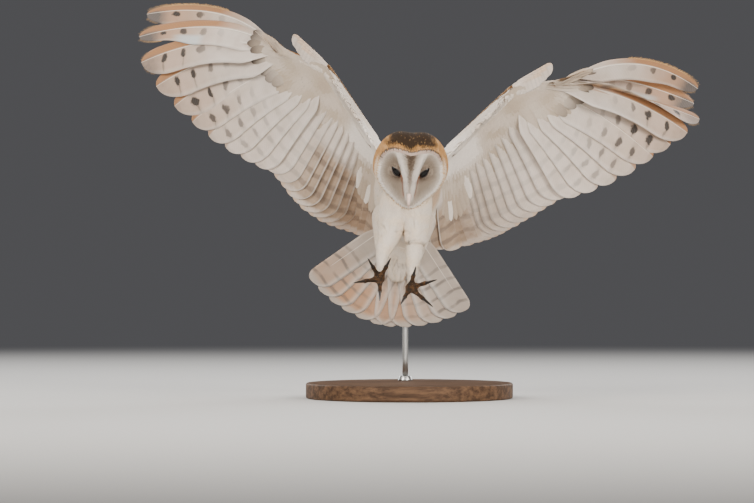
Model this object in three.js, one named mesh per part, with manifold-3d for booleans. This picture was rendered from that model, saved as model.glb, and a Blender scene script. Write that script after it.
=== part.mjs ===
// Barn owl coming in to land, life size, held up by a rod on a round base.
// Millimetres, +Z up. The bird faces -Y. The origin is the centre of the base's underside.
import * as THREE from 'three';
import { mergeVertices } from 'three/addons/utils/BufferGeometryUtils.js';
import Module from 'manifold-3d';

const wasm = await Module();
wasm.setup();

// ---- driving dimensions -------------------------------------------------------------------
const gap = 0.35; // left between pieces that touch
const roll = 6.5; // degrees the bird banks to its own left
const shoulderHeight = 274; // of the point midway between the shoulders
const birdForward = -80; // of that point from the middle of the base
const birdSideways = 1.1;

const base = { radius: 120, height: 18, bevel: 2.5 };
const rod = {
  radius: 3.5,
  top: [0, 84, -47], // its end inside the rump, from the shoulders' middle
  back: 66, // how far behind its end it turns down
  bend: 32, // radius of that turn
  collarRadius: 9,
  collarHeight: 5,
};

const head = {
  centre: [0, -45, -9],
  pitch: 35, // degrees the face looks down
  roll: -3.5, // degrees the head turns back upright
  discHalfWidth: 35,
  discHalfHeight: 39,
  browNotch: 5, // dip of the heart-shaped disc between the brows
  discForward: 27, // of the disc's middle from the head's centre
  cheekSweep: 0.2, // how far the disc falls back towards its sides
  dish: 5.5,
  ridge: 7, // height of the feathered ridge from brow to bill
  ridgeWidth: 7,
  backDepth: 42, // from the head's centre to the back of the skull
  ruff: 11.5, // how much wider the head is than its disc
};
const eye = { radius: 9, across: 15.5, up: 5, forward: 13.5 };
const bill = { length: 19, width: 9.5, depth: 11, up: -15.5, forward: 26.5, droop: 56 };

// Rings along the spine: y, z, half width and half depth of the feathered body.
const neckRings = [[-38, -12, 36, 35], [-12, -12, 37.5, 36.5], [14, -21, 37.5, 36]];
const trunkRings = [
  [4, -16, 34, 32], [18, -25, 37.5, 36], [42, -42, 37.5, 36.5], [68, -60, 31, 30], [88, -73, 21, 19],
  [103, -83, 13, 10],
];
const undertailRings = [[97, -84, 13, 8], [108, -112, 14, 7], [118, -140, 10, 4]];

const tail = {
  root: [0, 99, -62],
  feathers: 12,
  length: 142, // from the point the feathers fan out of
  rootRadius: 20,
  spread: 94.5, // degrees
  yaw: 4.5, // degrees towards the bird's right
  tilt: 20, // degrees back from straight down
  dome: 7, // how far the fan's sides curl forward
  scallop: 0.05,
};

// The wing's joints, given for the bird's left side: out, back, up from the shoulders' middle.
const joint = {
  shoulder: [25, 12, -8],
  front: [31, 4, -3], // where the skin fold ahead of the arm leaves the body
  elbow: [43, 82, 16],
  wrist: [109, 76, 94],
  fingertip: [168, 118, 113],
  scapular: [31, 50, 0], // where the innermost tertial grows
};
const limbRadius = { shoulder: 13, elbow: 9, wrist: 7.5, fingertip: 3.5 };
const flatness = 0.72; // thickness of a limb against its width

const primaryLengths = [216, 223, 221, 210, 199, 188, 179, 170, 163, 158];
const secondaryLengths = [151, 149, 148, 148, 147, 147, 146, 146, 145, 144, 142, 140];
const tertialLengths = [138, 133, 127, 119];
const featherLengths = [...primaryLengths, ...secondaryLengths, ...tertialLengths];
const lastPrimary = primaryLengths.length - 1;
const lastSecondary = lastPrimary + secondaryLengths.length;
const lastFeather = featherLengths.length - 1;

// Stations along the wing, in feathers counted from the outermost: where a shaft points,
// as degrees above the horizontal seen from ahead, and degrees swept back.
const wings = [
  {
    side: 'left',
    mirror: 1,
    fan: [[0, 6.3], [4.5, -19], [9, -50.5], [15, -66], [21, -71.5], [25, -92]],
    sweep: [[0, 38.5], [1, 39.5], [2, 33], [4.5, 31], [9, 26], [15, 28], [21, 36], [25, 39]],
    slot: [1.5, 0.05],
  },
  {
    side: 'right',
    mirror: -1,
    fan: [[0, 11], [4.5, -29], [9, -60], [15, -73.5], [21, -87], [25, -96]],
    sweep: [[0, 38], [2, 35.5], [4.5, 37], [9, 31], [15, 25], [21, 38], [25, 40]],
    slot: [1.5, 0.22],
  },
];
const featherPlate = {
  rootThickness: [[0, 5], [8, 7.5], [12, 9], [20, 8], [25.4, 3.5]], // with the coverts over the roots
  covertReach: 0.42, // of a feather's length
  tipThickness: 1.2,
  bowAcross: 0.115, // shafts bend forward along the wing, as parts of their length
  bowBack: 0.035, // and backward out of it
  leadingVane: 0.42, // of the spacing between feathers, ahead of the first shaft
  trailingVane: 0.4, // the same, behind the last shaft
  primaryRows: [0, 0.22, 0.5, 0.85, 1],
  armRows: [0, 0.45, 1],
};
const alula = { length: 58, width: 17, thickness: 2.2, rise: 33, sweep: 20 };

const legs = [
  {
    side: 'left',
    mirror: 1,
    heel: [17, -14, -105],
    foot: [15, -78, -143.5],
    toes: [[83, 22], [24, 28], [-34, 30], [-115, 19]],
  },
  {
    side: 'right',
    mirror: -1,
    heel: [-20, -14, -105],
    foot: [-20, -68, -137.5],
    toes: [[69, 24], [127, 24], [195, 27], [276, 22]],
  },
];
const hip = [18, 44, -62];
const leg = { hipRadius: 20, kneeRadius: 15, heelRadius: 9.5, ankleRadius: 4.6, padRadius: 6.5 };
const toe = {
  root: 3.6,
  tip: 2.5,
  share: 0.62, // of the whole reach that is toe, the rest being claw
  reachForward: 17,
  clawRadius: 1.9,
  clawPoint: 0.35,
  curl: 8,
};

// ---- small helpers ------------------------------------------------------------------------
const vec = (p) => new THREE.Vector3(...p);
const radians = THREE.MathUtils.degToRad;
const mix = THREE.MathUtils.lerp;

/** Value at t of the smooth curve through [t, value] stations. */
function through(stations, t) {
  const last = stations.length - 1;
  let k = 0;
  while (k < last - 1 && t > stations[k + 1][0]) k += 1;
  const [t0, a] = stations[k];
  const [t1, b] = stations[k + 1];
  const slope = (i, j) => (stations[j][1] - stations[i][1]) / (stations[j][0] - stations[i][0]);
  const here = slope(k, k + 1);
  const enter = k > 0 ? (slope(k - 1, k) + here) / 2 : here;
  const leave = k < last - 1 ? (slope(k + 1, k + 2) + here) / 2 : here;
  const s = THREE.MathUtils.clamp((t - t0) / (t1 - t0), 0, 1);
  const span = t1 - t0;
  return a * (1 + 2 * s) * (1 - s) ** 2 + enter * span * s * (1 - s) ** 2
    + b * s * s * (3 - 2 * s) + leave * span * s * s * (s - 1);
}

/** Closed skin over rings of points: each ring is a loop, and the first and last are capped. */
function skinOver(rings) {
  const count = rings[0].length;
  const points = rings.flat();
  const index = [];
  for (let r = 0; r < rings.length - 1; r += 1) {
    for (let k = 0; k < count; k += 1) {
      const next = (k + 1) % count;
      const [a, b] = [r * count + k, r * count + next];
      index.push(a, b, b + count, a, b + count, a + count);
    }
  }
  const cap = (ring, flip) => {
    const middle = ring.reduce((sum, p) => sum.add(p), new THREE.Vector3()).divideScalar(count);
    const centre = points.push(middle) - 1;
    const first = flip ? 0 : (rings.length - 1) * count;
    for (let k = 0; k < count; k += 1) {
      const [a, b] = [first + k, first + ((k + 1) % count)];
      index.push(...(flip ? [centre, b, a] : [centre, a, b]));
    }
  };
  cap(rings[0], true);
  cap(rings[rings.length - 1], false);
  return outward(points, index);
}

/** Geometry of a closed shell, turned so that its faces look out. */
function outward(points, index) {
  let volume = 0;
  const cross = new THREE.Vector3();
  for (let i = 0; i < index.length; i += 3) {
    cross.crossVectors(points[index[i + 1]], points[index[i + 2]]);
    volume += points[index[i]].dot(cross);
  }
  if (volume < 0) index.reverse();
  const geometry = new THREE.BufferGeometry().setFromPoints(points);
  geometry.setIndex(index);
  return geometry;
}

/** Limb along a path: rings [centre, half width, half thickness], flat faces towards `normal`. */
function limb(rings, normal, grow = 0, sides = 12) {
  const centres = rings.map(([centre]) => centre);
  const loops = rings.map(([centre, width, depth], i) => {
    const ahead = centres[Math.min(i + 1, centres.length - 1)];
    const behind = centres[Math.max(i - 1, 0)];
    const along = ahead.clone().sub(behind).normalize();
    const across = new THREE.Vector3().crossVectors(along, normal).normalize();
    const out = new THREE.Vector3().crossVectors(across, along);
    const end = (i === 0 ? -grow : 0) + (i === centres.length - 1 ? grow : 0);
    const middle = centre.clone().addScaledVector(along, end);
    return Array.from({ length: sides }, (_, k) => {
      const turn = (k / sides) * 2 * Math.PI;
      return middle.clone()
        .addScaledVector(across, (width + grow) * Math.cos(turn))
        .addScaledVector(out, (depth + grow) * Math.sin(turn));
    });
  });
  return skinOver(loops);
}

/** Round-ended limb: rings shrink along a quarter circle at each end. */
function roundEnds(rings, normal, grow = 0, sides = 12, startDome = 0.5, endDome = 0.5) {
  const steps = [0.35, 0.75];
  const dome = (from, to, amount) => steps.map((s) => {
    const along = from[0].clone().sub(to[0]).normalize();
    const reach = from[1] * amount;
    const shrink = Math.sqrt(1 - s * s) || 0.1;
    return [from[0].clone().addScaledVector(along, reach * s), from[1] * shrink, from[2] * shrink];
  });
  const start = dome(rings[0], rings[1], startDome).reverse();
  const end = dome(rings[rings.length - 1], rings[rings.length - 2], endDome);
  return limb([...start, ...rings, ...end], normal, grow, sides);
}

/** Plate on a curved surface: place(u, v) is its middle, thick(u, v) its thickness. */
function plate(place, thick, us, vs, facing) {
  const step = 1e-3;
  const normalAt = facing ?? ((u, v) => {
    const du = place(u + step, v).sub(place(u - step, v));
    const dv = place(u, v + step).sub(place(u, v - step));
    return du.cross(dv).normalize();
  });
  const rings = us.map((u) => {
    const faces = [1, -1].map((face) => vs.map((v) => place(u, v)
      .addScaledVector(normalAt(u, v), (face * thick(u, v)) / 2)));
    return [...faces[0], ...faces[1].reverse()];
  });
  return skinOver(rings);
}

/** Solid for cutting, from a closed geometry. */
function toSolid(geometry) {
  const bare = geometry.clone();
  bare.deleteAttribute('normal');
  bare.deleteAttribute('uv');
  const merged = mergeVertices(bare, 1e-4);
  const vertProperties = new Float32Array(merged.attributes.position.array);
  const triVerts = new Uint32Array(merged.index.array);
  return new wasm.Manifold(new wasm.Mesh({ numProp: 3, vertProperties, triVerts }));
}

/** Cuts the cutters' shapes off a geometry, and keeps its largest piece without slivers. */
const sliver = 0.06;
function cutBy(geometry, ...cutters) {
  let solid = toSolid(geometry);
  cutters.forEach((cutter) => {
    solid = solid.subtract(toSolid(cutter));
  });
  const pieces = solid.simplify(sliver).decompose();
  const mesh = pieces.sort((a, b) => b.volume() - a.volume())[0].getMesh();
  const cut = new THREE.BufferGeometry();
  cut.setAttribute('position', new THREE.BufferAttribute(new Float32Array(mesh.vertProperties), 3));
  cut.setIndex(new THREE.BufferAttribute(new Uint32Array(mesh.triVerts), 1));
  return cut;
}

const bird = new THREE.Group();
bird.position.set(birdSideways, birdForward, shoulderHeight);
bird.rotation.y = radians(roll);
const owl = new THREE.Group();
owl.add(bird);

function add(parent, name, geometry, finish) {
  const mesh = new THREE.Mesh(geometry, new THREE.MeshStandardMaterial(finish));
  mesh.name = name;
  parent.add(mesh);
}

const white = { color: 0xe9e2d6, roughness: 0.9, metalness: 0 };
const golden = { color: 0xb98c50, roughness: 0.9, metalness: 0 };
const vane = { color: 0xded4c4, roughness: 0.85, metalness: 0 };
const skinBrown = { color: 0x7c4f28, roughness: 0.7, metalness: 0 };
const claw = { color: 0x2a211b, roughness: 0.35, metalness: 0 };
const horn = { color: 0xe3c9b4, roughness: 0.45, metalness: 0 };
const blackEye = { color: 0x0b0807, roughness: 0.08, metalness: 0 };
const darkWood = { color: 0x4a3524, roughness: 0.45, metalness: 0 };
const steel = { color: 0x9a9a98, roughness: 0.35, metalness: 1 };

// ---- head ---------------------------------------------------------------------------------
// The head's own axes: x to the bird's left, y out of the face, z up the face.
const headFrame = new THREE.Matrix4()
  .makeTranslation(vec(head.centre))
  .multiply(new THREE.Matrix4().makeRotationY(radians(head.roll)))
  .multiply(new THREE.Matrix4().makeRotationX(radians(head.pitch)));
const inHead = (x, forward, up) => new THREE.Vector3(x, -forward, up).applyMatrix4(headFrame);

/** Outline of the facial disc: an egg, narrow at the chin, notched between the brows. */
function discRim(turn) {
  const chin = Math.max(0, -Math.cos(turn));
  const x = head.discHalfWidth * Math.sin(turn) * (1 - 0.24 * chin ** 1.5);
  const fold = Math.atan2(Math.sin(turn), Math.cos(turn)) / 0.38;
  const up = head.discHalfHeight * Math.cos(turn) - head.browNotch * Math.exp(-fold * fold);
  return [x, up];
}

/** Surface of the head: s = 0 at the middle of the face, faceShare at its rim, 1 at the nape. */
const faceShare = 0.42;
function headSurface(s, turn, grow = 0) {
  const [x, up] = discRim(turn);
  const rimForward = head.discForward - head.cheekSweep * Math.abs(x);
  if (s <= faceShare) {
    const q = s / faceShare;
    const side = (x * q) / head.ridgeWidth;
    const ridge = Math.exp(-side * side);
    const hollow = head.dish * 4 * q * (1 - q) * (1 - ridge);
    const forward = head.discForward - head.cheekSweep * Math.abs(x) * q - hollow
      + head.ridge * ridge * (1 - q * q);
    return inHead(x * q * (1 + grow / 40), forward + grow, up * q * (1 + grow / 40));
  }
  const g = 1 - Math.cos(((s - faceShare) / (1 - faceShare)) * (Math.PI / 2));
  const rim = Math.hypot(x, up);
  const radius = rim * Math.sqrt(1 - g * g) + head.ruff * Math.sin(Math.PI * g) ** 0.6 + grow;
  const forward = mix(rimForward + grow, -head.backDepth - grow, g);
  return inHead((x / rim) * radius, forward, (up / rim) * radius);
}

/** Head in rings from the middle of the face out over its rim and back to the nape. */
function headShape(grow = 0) {
  const sides = 22;
  const steps = [0.02, 0.14, 0.28, 0.42, 0.5, 0.62, 0.78, 0.93];
  const rings = steps.map((s) => Array.from(
    { length: sides },
    (_, k) => headSurface(s, (k / sides) * 2 * Math.PI, grow),
  ));
  return skinOver(rings);
}

function eyeball(side, grow = 0) {
  const ball = new THREE.SphereGeometry(eye.radius + grow, 10, 6);
  const place = inHead(side * eye.across, eye.forward, eye.up);
  return ball.translate(place.x, place.y, place.z);
}

/** Hooked bill: rings that shrink and droop towards the tip. */
function billShape(grow = 0) {
  const rings = [0, 0.25, 0.5, 0.72, 0.9].map((t) => {
    const droop = radians(bill.droop) * t * t;
    const reach = bill.length * t;
    const centre = inHead(0, bill.forward + reach * Math.cos(droop), bill.up - reach * Math.sin(droop));
    const size = (1 - t) ** 0.6 + 0.08;
    return [centre, (bill.width / 2) * size, (bill.depth / 2) * size];
  });
  return limb(rings, inHead(0, 0, 1).sub(inHead(0, 0, 0)), grow, 8);
}

const spine = (rings) => rings.map(([y, z, width, depth]) => [vec([0, y, z]), width, depth]);
const upward = new THREE.Vector3(0, 0.5, 0.86);
const trunkShape = (grow = 0) => roundEnds(spine(trunkRings), upward, grow, 14, 0.45, 0.5);
const neckShape = (grow = 0) => roundEnds(spine(neckRings), upward, grow, 14, 0.2, 0.2);
const undertailShape = (grow = 0) => roundEnds(spine(undertailRings), upward, grow, 10, 0.3, 0.6);

// ---- tail ---------------------------------------------------------------------------------
/** u runs over the feathers from the bird's right to its left, v from the root to the tips. */
function tailSurface(u, v) {
  const turn = radians(mix(-0.5, 0.5, u / tail.feathers) * tail.spread);
  const withinFeather = Math.abs(2 * (u - Math.floor(u)) - 1);
  const tip = tail.length * (1 - tail.scallop * withinFeather ** 3) * (1 - 0.06 * Math.abs(turn));
  const reach = mix(tail.rootRadius, tip, v);
  const across = reach * Math.sin(turn);
  const down = reach * Math.cos(turn);
  const curl = tail.dome * (turn * turn) * v * 2;
  return new THREE.Vector3(across, -curl, -down);
}
const tailFrame = new THREE.Matrix4()
  .makeTranslation(vec(tail.root))
  .multiply(new THREE.Matrix4().makeRotationY(radians(tail.yaw)))
  .multiply(new THREE.Matrix4().makeRotationX(radians(tail.tilt)));

function tailShape() {
  const us = [];
  for (let i = 0; i < tail.feathers; i += 1) us.push(i + 1e-6, i + 0.25, i + 0.75);
  us.push(tail.feathers - 1e-6);
  const thick = (u, v) => mix(5, 1.4, Math.min(1, v / 0.5));
  return plate(tailSurface, thick, us, [0, 0.85, 1]).applyMatrix4(tailFrame);
}

// ---- wings --------------------------------------------------------------------------------
/** Root of a wing feather, w feathers in from the outermost. */
function rootOf(w) {
  const along = (from, to, t) => vec(joint[from]).lerp(vec(joint[to]), t);
  if (w <= 9.5) return along('fingertip', 'wrist', Math.max(w, -1) / 9.5);
  if (w <= lastSecondary + 0.5) return along('wrist', 'elbow', (w - 9.5) / (lastSecondary - 9));
  return along('elbow', 'scapular', (w - lastSecondary - 0.5) / (lastFeather - lastSecondary));
}

/** Way a feather's shaft points at its root. */
function shaftDirection(wing, w) {
  const fan = radians(through(wing.fan, w));
  const sweep = radians(through(wing.sweep, w));
  return new THREE.Vector3(
    Math.cos(sweep) * Math.cos(fan),
    Math.sin(sweep),
    Math.cos(sweep) * Math.sin(fan),
  );
}

/** Length at w: each feather's own at its middle, shorter where two tips part. */
function lengthAt(wing, w) {
  const nearest = THREE.MathUtils.clamp(Math.round(w), 0, lastFeather);
  const off = w - nearest;
  const neighbour = THREE.MathUtils.clamp(nearest + Math.sign(off), 0, lastFeather);
  const smooth = mix(featherLengths[nearest], featherLengths[neighbour], Math.abs(off));
  const primary = nearest <= lastPrimary;
  const round = (primary ? 0.05 : 0.045) * Math.abs(2 * off) ** 3;
  const [slotAt, slotDepth] = wing.slot;
  const slot = slotDepth * Math.exp(-(((w - slotAt) / 0.16) ** 2));
  return smooth * (1 - round - slot);
}

/** Shaft, forward and back directions of the wing's surface near feather w. */
function wingAxes(wing, w) {
  const shaft = shaftDirection(wing, w);
  const reach = lengthAt(wing, w) * 0.6;
  const forward = rootOf(w - 0.5).addScaledVector(shaftDirection(wing, w - 0.5), reach)
    .sub(rootOf(w + 0.5).addScaledVector(shaftDirection(wing, w + 0.5), reach));
  forward.addScaledVector(shaft, -forward.dot(shaft)).normalize();
  const back = new THREE.Vector3().crossVectors(forward, shaft).normalize();
  if (back.y < 0) back.negate();
  return { forward, back };
}

/** Point on the wing: w feathers in from the tip, v from root to tip. */
function wingSurface(wing, w, v) {
  const reach = lengthAt(wing, w);
  const { forward, back } = wingAxes(wing, w);
  const arch = 4 * v * (1 - v) * reach;
  const along = Math.max(0, 1 - w / 16) ** 1.6;
  return rootOf(w).addScaledVector(shaftDirection(wing, w), reach * v)
    .addScaledVector(forward, arch * featherPlate.bowAcross * along)
    .addScaledVector(back, arch * featherPlate.bowBack);
}

/** Plate of overlapping feathers, from one place along the wing to another. */
function featherPlateShape(wing, from, to, rows) {
  const us = [from];
  const ends = 0.02;
  for (let i = Math.ceil(from - 0.5); i <= Math.floor(to + 0.5); i += 1) {
    [-0.5, -0.25, 0.25].forEach((s) => {
      const u = i + s;
      if (u > from + ends && u < to - ends) us.push(u);
    });
  }
  us.push(to);
  const covert = (v) => Math.max(0, 1 - v / featherPlate.covertReach) ** 1.5;
  const thick = (u, v) => mix(featherPlate.tipThickness, through(featherPlate.rootThickness, u), covert(v));
  const middle = (from + to) / 2;
  const place = (u, v) => {
    const inset = (gap / 2) * Math.sign(middle - u) * (u === from || u === to ? 1 : 0);
    const point = wingSurface(wing, u, v);
    if (inset === 0) return point;
    const beside = wingSurface(wing, u + Math.sign(inset) * 0.1, v).sub(point).normalize();
    return point.addScaledVector(beside, Math.abs(inset));
  };
  return plate(place, thick, us, rows, (u) => wingAxes(wing, u).back.negate());
}

/** Faces of the wing's limbs turn with the wing: the normal of the surface near the arm. */
function wingNormal(wing, w) {
  const du = wingSurface(wing, w + 0.5, 0.3).sub(wingSurface(wing, w - 0.5, 0.3));
  const dv = wingSurface(wing, w, 0.4).sub(wingSurface(wing, w, 0.2));
  return du.cross(dv).normalize();
}

/** Limb between two joints, lying in the wing's surface near feather w. */
function limbBetween(wing, from, to, w, grow = 0) {
  const rings = [from, to].map((name) => {
    const width = limbRadius[name];
    return [vec(joint[name]), width, width * flatness];
  });
  const sides = 8;
  const endDome = 0.6;
  return roundEnds(rings, wingNormal(wing, w), grow, sides, endDome, endDome);
}

/** Skin fold between the shoulder, the elbow and the wrist. */
function foldShape() {
  const rear = (u) => (u < 0.45
    ? vec(joint.front).lerp(vec(joint.elbow), u / 0.45)
    : vec(joint.elbow).lerp(vec(joint.wrist), (u - 0.45) / 0.55));
  const place = (u, v) => vec(joint.front).lerp(vec(joint.wrist), u).lerp(rear(u), v);
  const thick = (u, v) => mix(3, 7, Math.min(1, v * 1.6));
  return plate(place, thick, [0.05, 0.25, 0.45, 0.7, 0.88], [0, 0.5, 1]);
}

function alulaShape(wing) {
  const rise = radians(alula.rise);
  const sweep = radians(alula.sweep);
  const along = new THREE.Vector3(
    Math.cos(sweep) * Math.cos(rise),
    Math.sin(sweep),
    Math.cos(sweep) * Math.sin(rise),
  );
  const normal = wingNormal(wing, 4);
  const across = new THREE.Vector3().crossVectors(along, normal).normalize();
  if (across.z < 0) across.negate();
  const root = vec(joint.wrist).addScaledVector(across, limbRadius.wrist * 0.4);
  const place = (u, v) => {
    const width = alula.width * Math.min(1, 0.55 + v) * Math.sqrt(1.001 - Math.abs(v) ** 3.5);
    return root.clone()
      .addScaledVector(along, alula.length * v)
      .addScaledVector(across, (u - 0.25) * width);
  };
  const thick = (u, v) => alula.thickness * (1.6 - v);
  return plate(place, thick, [0, 0.33, 0.67, 1], [0, 0.4, 0.75, 0.93, 0.995]);
}

/** The same shape for the other side of the bird. */
function mirrored(geometry, mirror) {
  if (mirror > 0) return geometry;
  const flipped = geometry.clone().scale(-1, 1, 1);
  const order = Array.from(flipped.index.array).reverse();
  flipped.setIndex(order);
  return flipped;
}

function addWing(wing, trunkCut) {
  const { side, mirror } = wing;
  const arm = (grow) => limbBetween(wing, 'shoulder', 'elbow', 23, grow);
  const forearm = (grow) => limbBetween(wing, 'elbow', 'wrist', 16, grow);
  const hand = (grow) => limbBetween(wing, 'wrist', 'fingertip', 5, grow);
  const limbs = [arm(gap), forearm(gap), hand(gap)];
  const outer = lastPrimary + 0.5;
  const inner = lastSecondary + 0.5;
  const { primaryRows, armRows, leadingVane, trailingVane } = featherPlate;
  const primaries = featherPlateShape(wing, -leadingVane, outer, primaryRows);
  const secondaries = featherPlateShape(wing, outer, inner, armRows);
  const tertials = featherPlateShape(wing, inner, lastFeather + trailingVane, armRows);
  const pieces = {
    upper_arm: [cutBy(arm(0), trunkCut, neckShape(gap)), white],
    forearm: [cutBy(forearm(0), arm(gap)), white],
    hand: [cutBy(hand(0), forearm(gap)), white],
    fold: [cutBy(foldShape(), trunkCut, ...limbs), white],
    alula: [cutBy(alulaShape(wing), ...limbs), vane],
    primaries: [cutBy(primaries, ...limbs, alulaGrown(wing)), vane],
    secondaries: [cutBy(secondaries, ...limbs), vane],
    tertials: [cutBy(tertials, ...limbs, trunkCut), golden],
  };
  Object.entries(pieces).forEach(([name, [geometry, finish]]) => {
    add(bird, `wing_${side}_${name}`, mirrored(geometry, mirror), finish);
  });
}

/** The alula's space, grown by about the gap, so that the primaries keep clear of it. */
function alulaGrown(wing) {
  const grown = alulaShape(wing);
  grown.computeBoundingBox();
  const centre = grown.boundingBox.getCenter(new THREE.Vector3());
  const scale = 1 + (2 * gap) / alula.length * 2;
  grown.translate(-centre.x, -centre.y, -centre.z);
  return grown.scale(scale, scale, scale).translate(centre.x, centre.y, centre.z);
}

// ---- legs ---------------------------------------------------------------------------------
function thighShape(one, grow = 0) {
  const from = new THREE.Vector3(hip[0] * one.mirror, hip[1], hip[2]);
  const heel = vec(one.heel);
  const knee = from.clone().lerp(heel, 0.5).add(new THREE.Vector3(0, -6, 2));
  const rings = [
    [from, leg.hipRadius, leg.hipRadius],
    [knee, leg.kneeRadius, leg.kneeRadius],
    [heel, leg.heelRadius, leg.heelRadius],
  ];
  return roundEnds(rings, upward, grow, 10, 0.3, 0.5);
}

function shankShape(one, grow = 0) {
  const rings = [0, 0.5, 1].map((t) => {
    const width = mix(leg.heelRadius, leg.ankleRadius, t ** 0.8) * (t === 0 ? 0.9 : 1);
    return [vec(one.heel).lerp(vec(one.foot), t * 0.9), width, width];
  });
  return roundEnds(rings, upward, grow, 8, 0.3, 0.4);
}

/** Footpad, a squat ball facing along the shank. */
function padShape(one, grow = 0) {
  const along = vec(one.foot).sub(vec(one.heel)).normalize();
  const centre = vec(one.foot);
  const rings = [-0.8, 0, 0.7].map((t) => {
    const size = leg.padRadius * Math.sqrt(1 - t * t * 0.85);
    return [centre.clone().addScaledVector(along, leg.padRadius * t), size, size];
  });
  return limb(rings, upward, grow, 8);
}

/** Middle line of a toe and its claw: out from the pad and towards the front, then curling in. */
function toeLine(one, [angle, reach]) {
  const out = new THREE.Vector3(Math.cos(radians(angle)), 0, Math.sin(radians(angle)));
  const ahead = new THREE.Vector3(0, -1, 0);
  const start = vec(one.foot).addScaledVector(out, 2.5).addScaledVector(ahead, 2);
  const toeEnd = reach * toe.share;
  const knuckle = start.clone().addScaledVector(out, toeEnd * 0.62).addScaledVector(ahead, 3);
  const end = start.clone().addScaledVector(out, toeEnd)
    .addScaledVector(ahead, toe.reachForward * 0.75);
  const clawBend = start.clone().addScaledVector(out, reach * 0.9)
    .addScaledVector(ahead, toe.reachForward + toe.curl * 0.7);
  const tip = start.clone().addScaledVector(out, reach)
    .addScaledVector(ahead, toe.reachForward + toe.curl * 1.7);
  return { start, knuckle, end, clawBend, tip, out };
}

function toeShape(line, grow = 0) {
  const curve = new THREE.QuadraticBezierCurve3(line.start, line.knuckle, line.end);
  const rings = [0, 0.4, 0.75, 1].map((t) => {
    const pad = 1 + 0.12 * Math.sin(t * 3 * Math.PI);
    const width = mix(toe.root, toe.tip, t) * pad * (t === 1 ? 0.7 : 1);
    return [curve.getPoint(t), width, width];
  });
  return limb(rings, new THREE.Vector3(0, 1, 0.01), grow, 6);
}

function clawShape(line) {
  const from = line.end.clone();
  const curve = new THREE.QuadraticBezierCurve3(from, line.clawBend, line.tip);
  const rings = [0.05, 0.5, 0.98].map((t) => {
    const width = toe.clawRadius * (1 - t) + toe.clawPoint;
    return [curve.getPoint(t), width * 0.85, width];
  });
  return limb(rings, new THREE.Vector3(0, 1, 0.01), 0, 5);
}

function addLeg(one, trunkCut) {
  add(bird, `leg_${one.side}_thigh`, cutBy(thighShape(one), trunkCut), white);
  add(bird, `leg_${one.side}_shank`, cutBy(shankShape(one), thighShape(one, gap)), white);
  add(bird, `leg_${one.side}_foot`, cutBy(padShape(one), shankShape(one, gap)), skinBrown);
  const lines = one.toes.map((measure) => toeLine(one, measure));
  const earlier = [];
  lines.forEach((line, i) => {
    const cutters = [padShape(one, gap), shankShape(one, gap), ...earlier];
    add(bird, `leg_${one.side}_toe_${i + 1}`, cutBy(toeShape(line), ...cutters), skinBrown);
    add(bird, `leg_${one.side}_claw_${i + 1}`, cutBy(clawShape(line), toeShape(line, gap)), claw);
    earlier.push(toeShape(line, gap));
  });
}

// ---- stand --------------------------------------------------------------------------------
bird.updateMatrixWorld(true);
const toWorld = (p) => p.clone().applyMatrix4(bird.matrixWorld);
const rodTop = toWorld(vec(rod.top));
const rodBend = rodTop.clone().add(new THREE.Vector3(0, rod.back, 0));
const rodFoot = new THREE.Vector3(rodTop.x, rodBend.y, base.height + gap);

/** Rod that goes straight back out of the rump, turns down in an arc and stands on the base. */
function rodShape(grow = 0) {
  const turns = [0, 0.2, 0.4, 0.6, 0.8, 1].map((t) => (t * Math.PI) / 2);
  const arc = turns.map((turn) => rodBend.clone().add(new THREE.Vector3(
    0,
    rod.bend * (Math.sin(turn) - 1),
    rod.bend * (Math.cos(turn) - 1),
  )));
  const rings = [rodTop, ...arc, rodFoot].map((centre) => [centre, rod.radius, rod.radius]);
  return limb(rings, new THREE.Vector3(1, 0, 0), grow, 10);
}

function baseShape() {
  const { radius, height, bevel } = base;
  const profile = [
    [0, 0], [radius - 1, 0], [radius, 1], [radius, height - bevel], [radius - bevel, height],
    [0, height],
  ];
  const lathe = new THREE.LatheGeometry(profile.map(([x, y]) => new THREE.Vector2(x, y)), 36);
  return lathe.rotateX(Math.PI / 2);
}

/** Round foot that the rod stands in, drilled to take it. */
function collarShape() {
  const { collarRadius, collarHeight } = rod;
  const collar = new THREE.CylinderGeometry(collarRadius * 0.8, collarRadius, collarHeight, 14);
  collar.rotateX(Math.PI / 2).translate(rodFoot.x, rodFoot.y, base.height + gap + collarHeight / 2);
  return cutBy(collar, rodShape(gap));
}

// ---- the whole bird -----------------------------------------------------------------------
const rodInBird = rodShape(gap).applyMatrix4(bird.matrixWorld.clone().invert());
const trunkCut = trunkShape(gap);

add(bird, 'head', cutBy(headShape(), eyeball(1, gap), eyeball(-1, gap), billShape(gap)), golden);
add(bird, 'eye_left', eyeball(1), blackEye);
add(bird, 'eye_right', eyeball(-1), blackEye);
add(bird, 'bill', billShape(), horn);
add(bird, 'neck', cutBy(neckShape(), headShape(gap), trunkCut), golden);
add(bird, 'trunk', cutBy(trunkShape(), rodInBird, headShape(gap)), white);
add(bird, 'undertail', cutBy(undertailShape(), trunkCut), white);
add(bird, 'tail', cutBy(tailShape(), undertailShape(gap), trunkCut), vane);
wings.forEach((wing) => addWing(wing, trunkCut));
legs.forEach((one) => addLeg(one, trunkCut));
add(owl, 'stand_rod', rodShape(), steel);
add(owl, 'stand_collar', collarShape(), steel);
add(owl, 'stand_base', baseShape(), darkWood);

export default owl;
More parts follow.
